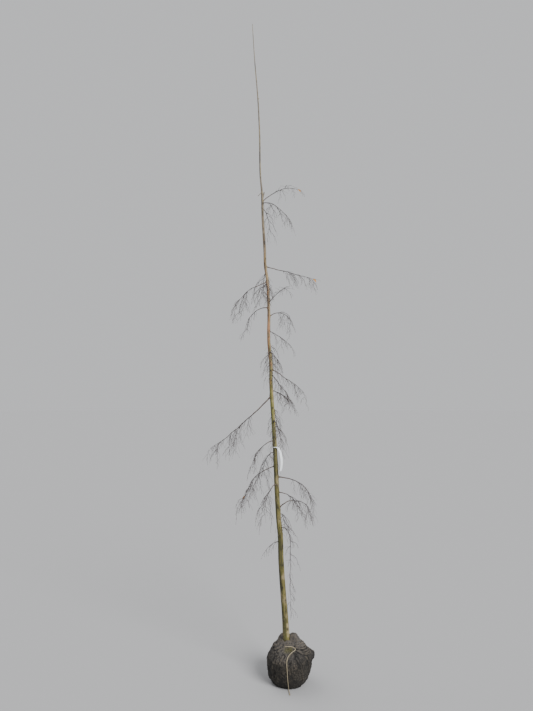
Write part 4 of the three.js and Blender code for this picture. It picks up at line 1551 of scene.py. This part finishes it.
class SAPLING_OT_ball(Operator):
    """Remeshes the ball's solid as cloth, with folds, creases, hollows and a weave along its UV map"""

    bl_idname = "sapling.ball"
    bl_label = "Root Ball"

    def execute(self, context):
        sizes, colours = context.scene.sapling_sizes, context.scene.sapling_colours
        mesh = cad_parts["root_ball"].data.copy()
        mesh.materials.clear()
        ball = added("ball_wrap", mesh)
        mend(MERGE_BALL, outwards=False)
        apply_modifier(ball, "REMESH", mode="VOXEL", voxel_size=CELL)
        apply_modifier(ball, "SMOOTH", factor=SMOOTH_SHARE, iterations=SMOOTH_ROUNDS)
        places, out = corners(ball), rows_of(ball.data.vertex_normals, "vector")
        push, raised, deep, moss = self.cloth(places, sizes.crumple / MM)
        places += out * (push * rising(places[:, 2], (0, FLAT_BELOW)))[:, None]
        places[:, 2] = np.maximum(places[:, 2], 0)
        move_corners(ball, places)
        note(ball, raised=raised, deep=deep, moss=moss)
        self.map_weave(ball)
        ball.data.materials.append(hessian(colours, sizes.thread_pitch))
        choose(ball)
        bpy.ops.object.shade_smooth()
        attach(settled(ball, "ball_wrap"), "root")
        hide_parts("root_ball")
        return {"FINISHED"}

    @staticmethod
    def cloth(places, crumple):
        """How far the cloth stands out in mm, and how much of it is raised, deep in a fold or mossy."""
        forms = {name: form_at(places, name) for name in CRUMPLE_SHARES}
        forms["pleats"] *= rising(places[:, 2], PLEATS_RISE)
        small = crumple * sum(share * forms[name] for name, share in CRUMPLE_SHARES.items())
        push = small + crumple * LUMPS_SHARE * form_at(places, "lumps")
        folds, troughs = SAPLING_OT_ball.folds(places)
        push += folds - TROUGH_DEPTH * troughs
        deep = np.zeros(len(places))
        for toward, share, wide, depth in HOLLOWS:
            near = hump(nearest(places, [ball_point(toward, share)]) / wide)
            push -= depth * near
            # Painted shade in the hollows, carried to the material as deep
            deep = np.maximum(deep, HOLLOW_DARK * near)
        bed = hump(nearest(places, twine_line(BED_POINTS)[::2]) / BED_WIDTH)
        push = np.clip(push * (1 - bed), *PUSH_SPAN) + SAPLING_OT_ball.lip(places)
        # How raised the cloth is, for the painted highlight on its crests and painted shade in its troughs
        high_up = np.clip((places[:, 2] - RAISED_FROM) / RAISED_OVER, *RAISED_SHARES)
        crests = small + (folds - RAISED_TROUGHS * troughs) * high_up
        raised = np.clip((crests - RAISED_LEVEL) / RAISED_SPAN, -1, 1)
        moss = nearest(places, [ball_point(*patch) for patch in MOSS]) / MOSS_WIDTH
        return push, raised, deep * (1 - bed), MOSS_STRENGTH * hump(moss, power=4)

    @staticmethod
    def folds(places):
        """How high each place lies on a fold, and how deep in the trough beside one."""
        folds, troughs = np.zeros(len(places)), np.zeros(len(places))
        patchy = np.clip(PATCHY_LEVEL + PATCHY_DEPTH * form_at(places, "patches"), *PATCHY_SPAN)
        t = np.linspace(0, 1, FOLD_POINTS)
        swell = FOLD_ENDS + (1 - FOLD_ENDS) * np.sin(np.pi * t).max()
        for toward, share, toward_end, share_end, sag, wide, high in FOLDS:
            round_by = (toward_end - toward + 180) % 360 - 180
            shares = share + (share_end - share) * t + 4 * sag * t * (1 - t)
            away = nearest(places, ball_point(toward + round_by * t, shares)) / wide
            strength = high * swell * patchy
            folds = np.maximum(folds, strength * hump(away, power=3))
            troughs = np.maximum(troughs, strength * hump(away / TROUGH_WIDE, power=4))
        return folds, troughs - folds

    @staticmethod
    def lip(places):
        """The gathered edge of the cloth that laps up round the trunk's foot."""
        out = places - trunk_at(TRUNK_FOOT)[0]
        away = np.hypot(out[:, 0], out[:, 1])
        near = hump((away - LIP_REACH) / LIP_WIDTH) * rising(away, LIP_INSIDE)
        uneven = 1 + LIP_UNEVEN * form_at(places, "lip")
        return near * rising(places[:, 2], LIP_RISES) * LIP_HEIGHT * uneven

    @staticmethod
    def map_weave(ball):
        """A UV map in metres: round the ball and up its side, and flat on the gathered cloth above."""
        places = corners(ball)
        around = (np.arctan2(places[:, 1], places[:, 0]) / (2 * math.pi) + THREADS_BEGIN) % 1
        reach = np.hypot(places[:, 0], places[:, 1])
        up = (places[:, 2] + np.maximum(0, THREADS_TURN_IN - reach)) * MM
        loops = np.empty(len(ball.data.loops), int)
        ball.data.loops.foreach_get("vertex_index", loops)
        starts = np.empty(len(ball.data.polygons), int)
        ball.data.polygons.foreach_get("loop_start", starts)
        owner = np.repeat(np.arange(len(starts)), np.diff(np.append(starts, len(loops))))
        u = around[loops]
        u = u - np.round(u - u[starts][owner])
        threads = np.column_stack([u * THREADS_ROUND, up[loops]])
        axis = np.abs(rows_of(ball.data.polygons, "normal")).argmax(1)[owner]
        gathered = (places[loops[starts], 2] > GATHERED_ABOVE)[owner]
        for normal_axis, plane in enumerate([(1, 2), (0, 2), (0, 1)]):
            here = gathered & (axis == normal_axis)
            threads[here] = places[loops[here]][:, plane] * MM
        layer = ball.data.uv_layers.get("weave") or ball.data.uv_layers.new(name="weave")
        layer.data.foreach_set("uv", threads.ravel())


class SAPLING_OT_twine(Operator):
    """Lays three twisted strands along the twine's way, splayed at the cut end"""

    bl_idname = "sapling.twine"
    bl_label = "Twine"

    def execute(self, context):
        sizes, colours = context.scene.sapling_sizes, context.scene.sapling_colours
        line = twine_line(STRAND_POINTS)
        ahead = np.gradient(line, axis=0)
        ahead /= np.linalg.norm(ahead, axis=1, keepdims=True)
        across = np.cross(ahead, [1.0, 0.0, 0.0])
        across /= np.linalg.norm(across, axis=1, keepdims=True)
        other = np.cross(ahead, across)
        t = np.linspace(0, 1, len(line))
        splay = 1 + SPLAY * np.clip((t - SPLAY_FROM) / SPLAY_LENGTH, 0, 1)
        lines = []
        for strand in range(STRANDS):
            angle = 2 * np.pi * (strand / STRANDS + sizes.strand_turns * t)
            offset = np.cos(angle)[:, None] * across + np.sin(angle)[:, None] * other
            points = line + offset * (STRAND_OFF * splay)[:, None]
            points[:, 2] = np.maximum(points[:, 2], STRAND_RADIUS)
            lines.append((points, np.full(len(points), STRAND_RADIUS), 0))
        for fibre in range(FRAYED):
            aside, longer, higher = (fibre * step % 1 for step in FRAY_STEPS)
            toward = heading(FRAY_TOWARD + FRAY_WIDTH * (aside - 0.5), 0)
            reach = between(FRAY_LENGTHS, longer)
            points = line[FRAY_START] + toward * np.linspace(0, reach, FRAY_POINTS)[:, None]
            points[:, 2] = FRAY_GROUND + FRAY_HEIGHT * np.linspace(1, FRAY_SINKS, FRAY_POINTS) * higher
            lines.append((points, np.full(FRAY_POINTS, FRAY_RADIUS), 0))
        finish = plain_finish("straw_twine", colours.twine, roughness=0.9, waves=700, relief=0.0004)
        twine = curve_piece("twine_strands", lines, TWINE_ROUND, [finish])
        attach(twine, "root")
        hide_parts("twine")
        return {"FINISHED"}


def walled(sheet, wall, edge):
    """A sheet of the tag with its thickness and its softened edges."""
    apply_modifier(sheet, "SOLIDIFY", thickness=wall * MM, offset=0)
    apply_modifier(sheet, "BEVEL", width=edge * MM, segments=2, angle_limit=TAG_CORNER)
    bpy.ops.object.shade_smooth()
    return sheet


class SAPLING_OT_tag(Operator):
    """Bends the blank tag from a flat strip, with its band round the trunk"""

    bl_idname = "sapling.tag"
    bl_label = "Tag"

    def execute(self, context):
        colours = context.scene.sapling_colours
        middle, thick = trunk_at(TAG_HEIGHT)
        inner = float(thick) / 2 + TAG_PLAY
        turn = np.array(Matrix.Rotation(math.radians(TAG_TOWARD), 3, "Z"))
        strip = self.strip(inner)
        move_corners(strip, corners(strip) @ turn.T + middle)
        band = self.band(inner, middle)
        choose(strip, band)
        bpy.ops.object.join()
        tag = settled(strip, "tag_strip")
        tag.data.materials.append(plain_finish(
            "blank_tag", colours.tag, roughness=0.35, waves=60, relief=0.0002, darkest=0.95))
        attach(tag, "root")
        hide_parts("tag")
        return {"FINISHED"}

    @staticmethod
    def strip(inner):
        """The hanging strip, bent along a bow in the plane of X and Z, with rounded corners."""
        deselect()
        bpy.ops.mesh.primitive_grid_add(x_subdivisions=TAG_GRID[0], y_subdivisions=TAG_GRID[1], size=1)
        strip = bpy.context.object
        flat = corners(strip) * MM
        t = (flat[:, 0] + 0.5)[:, None]
        ends = [(inner + TAG_THICK / 2, 0), *((inner + reach, up) for reach, up in TAG_BOW)]
        a, b, c, d = (np.array(end) for end in ends)
        bow = a * (1 - t) ** 3 + 3 * b * t * (1 - t) ** 2 + 3 * c * t ** 2 * (1 - t) + d * t ** 3
        into_end = np.clip((t[:, 0] - TAG_ROUND_FROM) / TAG_ROUND, 0, 1)
        width = flat[:, 1] * TAG_WIDTH * np.sqrt(np.clip(1 - into_end ** 2, TAG_ROUND_LEAST, 1))
        curl = TAG_CURL * np.abs(flat[:, 1] * 2) ** 2 * t[:, 0]
        move_corners(strip, np.column_stack([bow[:, 0] - curl, width, bow[:, 1]]))
        return walled(strip, STRIP_WALL, STRIP_EDGE)

    @staticmethod
    def band(inner, middle):
        deselect()
        bpy.ops.mesh.primitive_cylinder_add(
            vertices=BAND_SIDES, radius=(inner + TAG_THICK / 2) * MM, depth=TAG_BAND * MM,
            end_fill_type="NOTHING", location=tuple(middle * MM))
        return walled(place_applied(), BAND_WALL, BAND_EDGE)


class SAPLING_OT_stage(Operator):
    """Lays the pale floor, hangs the soft lights and sets the camera"""

    bl_idname = "sapling.stage"
    bl_label = "Stage"

    def execute(self, context):
        colours = context.scene.sapling_colours
        deselect()
        bpy.ops.mesh.primitive_circle_add(
            vertices=FLOOR_SIDES, radius=FLOOR_RADIUS, fill_type="NGON", location=(0, 0, -FLOOR_DROP))
        floor = settled(context.object, "floor")
        paint = Finish("floor_paint", 1.0, tuple(colours.floor))
        paint.feed(paint.shader.inputs["Specular IOR Level"], 0.0)
        floor.data.materials.append(paint.coloured())
        for place, strength, wide in SUNS:
            aim = (-Vector(place)).to_track_quat("-Z", "Y").to_euler()
            bpy.ops.object.light_add(type="SUN", location=place, rotation=aim)
            context.object.data.energy = strength
            context.object.data.angle = math.radians(wide)
        world = bpy.data.worlds.new("soft_sky")
        world.use_nodes = True
        sky = world.node_tree.nodes["Background"].inputs
        sky["Color"].default_value = SKY_COLOUR
        sky["Strength"].default_value = SKY_STRENGTH
        context.scene.world = world
        rotation = (math.radians(90 + CAMERA_PITCH), 0, 0)
        bpy.ops.object.camera_add(location=CAMERA_PLACE, rotation=rotation)
        context.object.data.lens = CAMERA_LENS
        context.scene.camera = context.object
        return {"FINISHED"}


class SAPLING_PT_panel(Panel):
    """Lists the steps that build the sapling, with its sizes and colours"""

    bl_idname = "SAPLING_PT_panel"
    bl_label = "Sapling"
    bl_space_type = "VIEW_3D"
    bl_region_type = "UI"
    bl_category = "Sapling"

    def draw(self, context):
        for step in STEPS:
            self.layout.operator(step.bl_idname)
        for group in (context.scene.sapling_sizes, context.scene.sapling_colours):
            box = self.layout.box()
            for name in type(group).__annotations__:
                box.prop(group, name)


STEPS = [
    SAPLING_OT_stage,
    SAPLING_OT_trunk,
    SAPLING_OT_boughs,
    SAPLING_OT_twigs,
    SAPLING_OT_buds,
    SAPLING_OT_leaves,
    SAPLING_OT_ball,
    SAPLING_OT_twine,
    SAPLING_OT_tag,
]
CLASSES = [SaplingSizes, SaplingColours, *STEPS, SAPLING_PT_panel]


def register():
    for each in CLASSES:
        bpy.utils.register_class(each)
    bpy.types.Scene.sapling_sizes = PointerProperty(type=SaplingSizes)
    bpy.types.Scene.sapling_colours = PointerProperty(type=SaplingColours)


def unregister():
    del bpy.types.Scene.sapling_colours
    del bpy.types.Scene.sapling_sizes
    for each in reversed(CLASSES):
        bpy.utils.unregister_class(each)


def main():
    register()
    for step in STEPS:
        group, name = step.bl_idname.split(".")
        getattr(getattr(bpy.ops, group), name)()


if __name__ == "__main__":
    main()
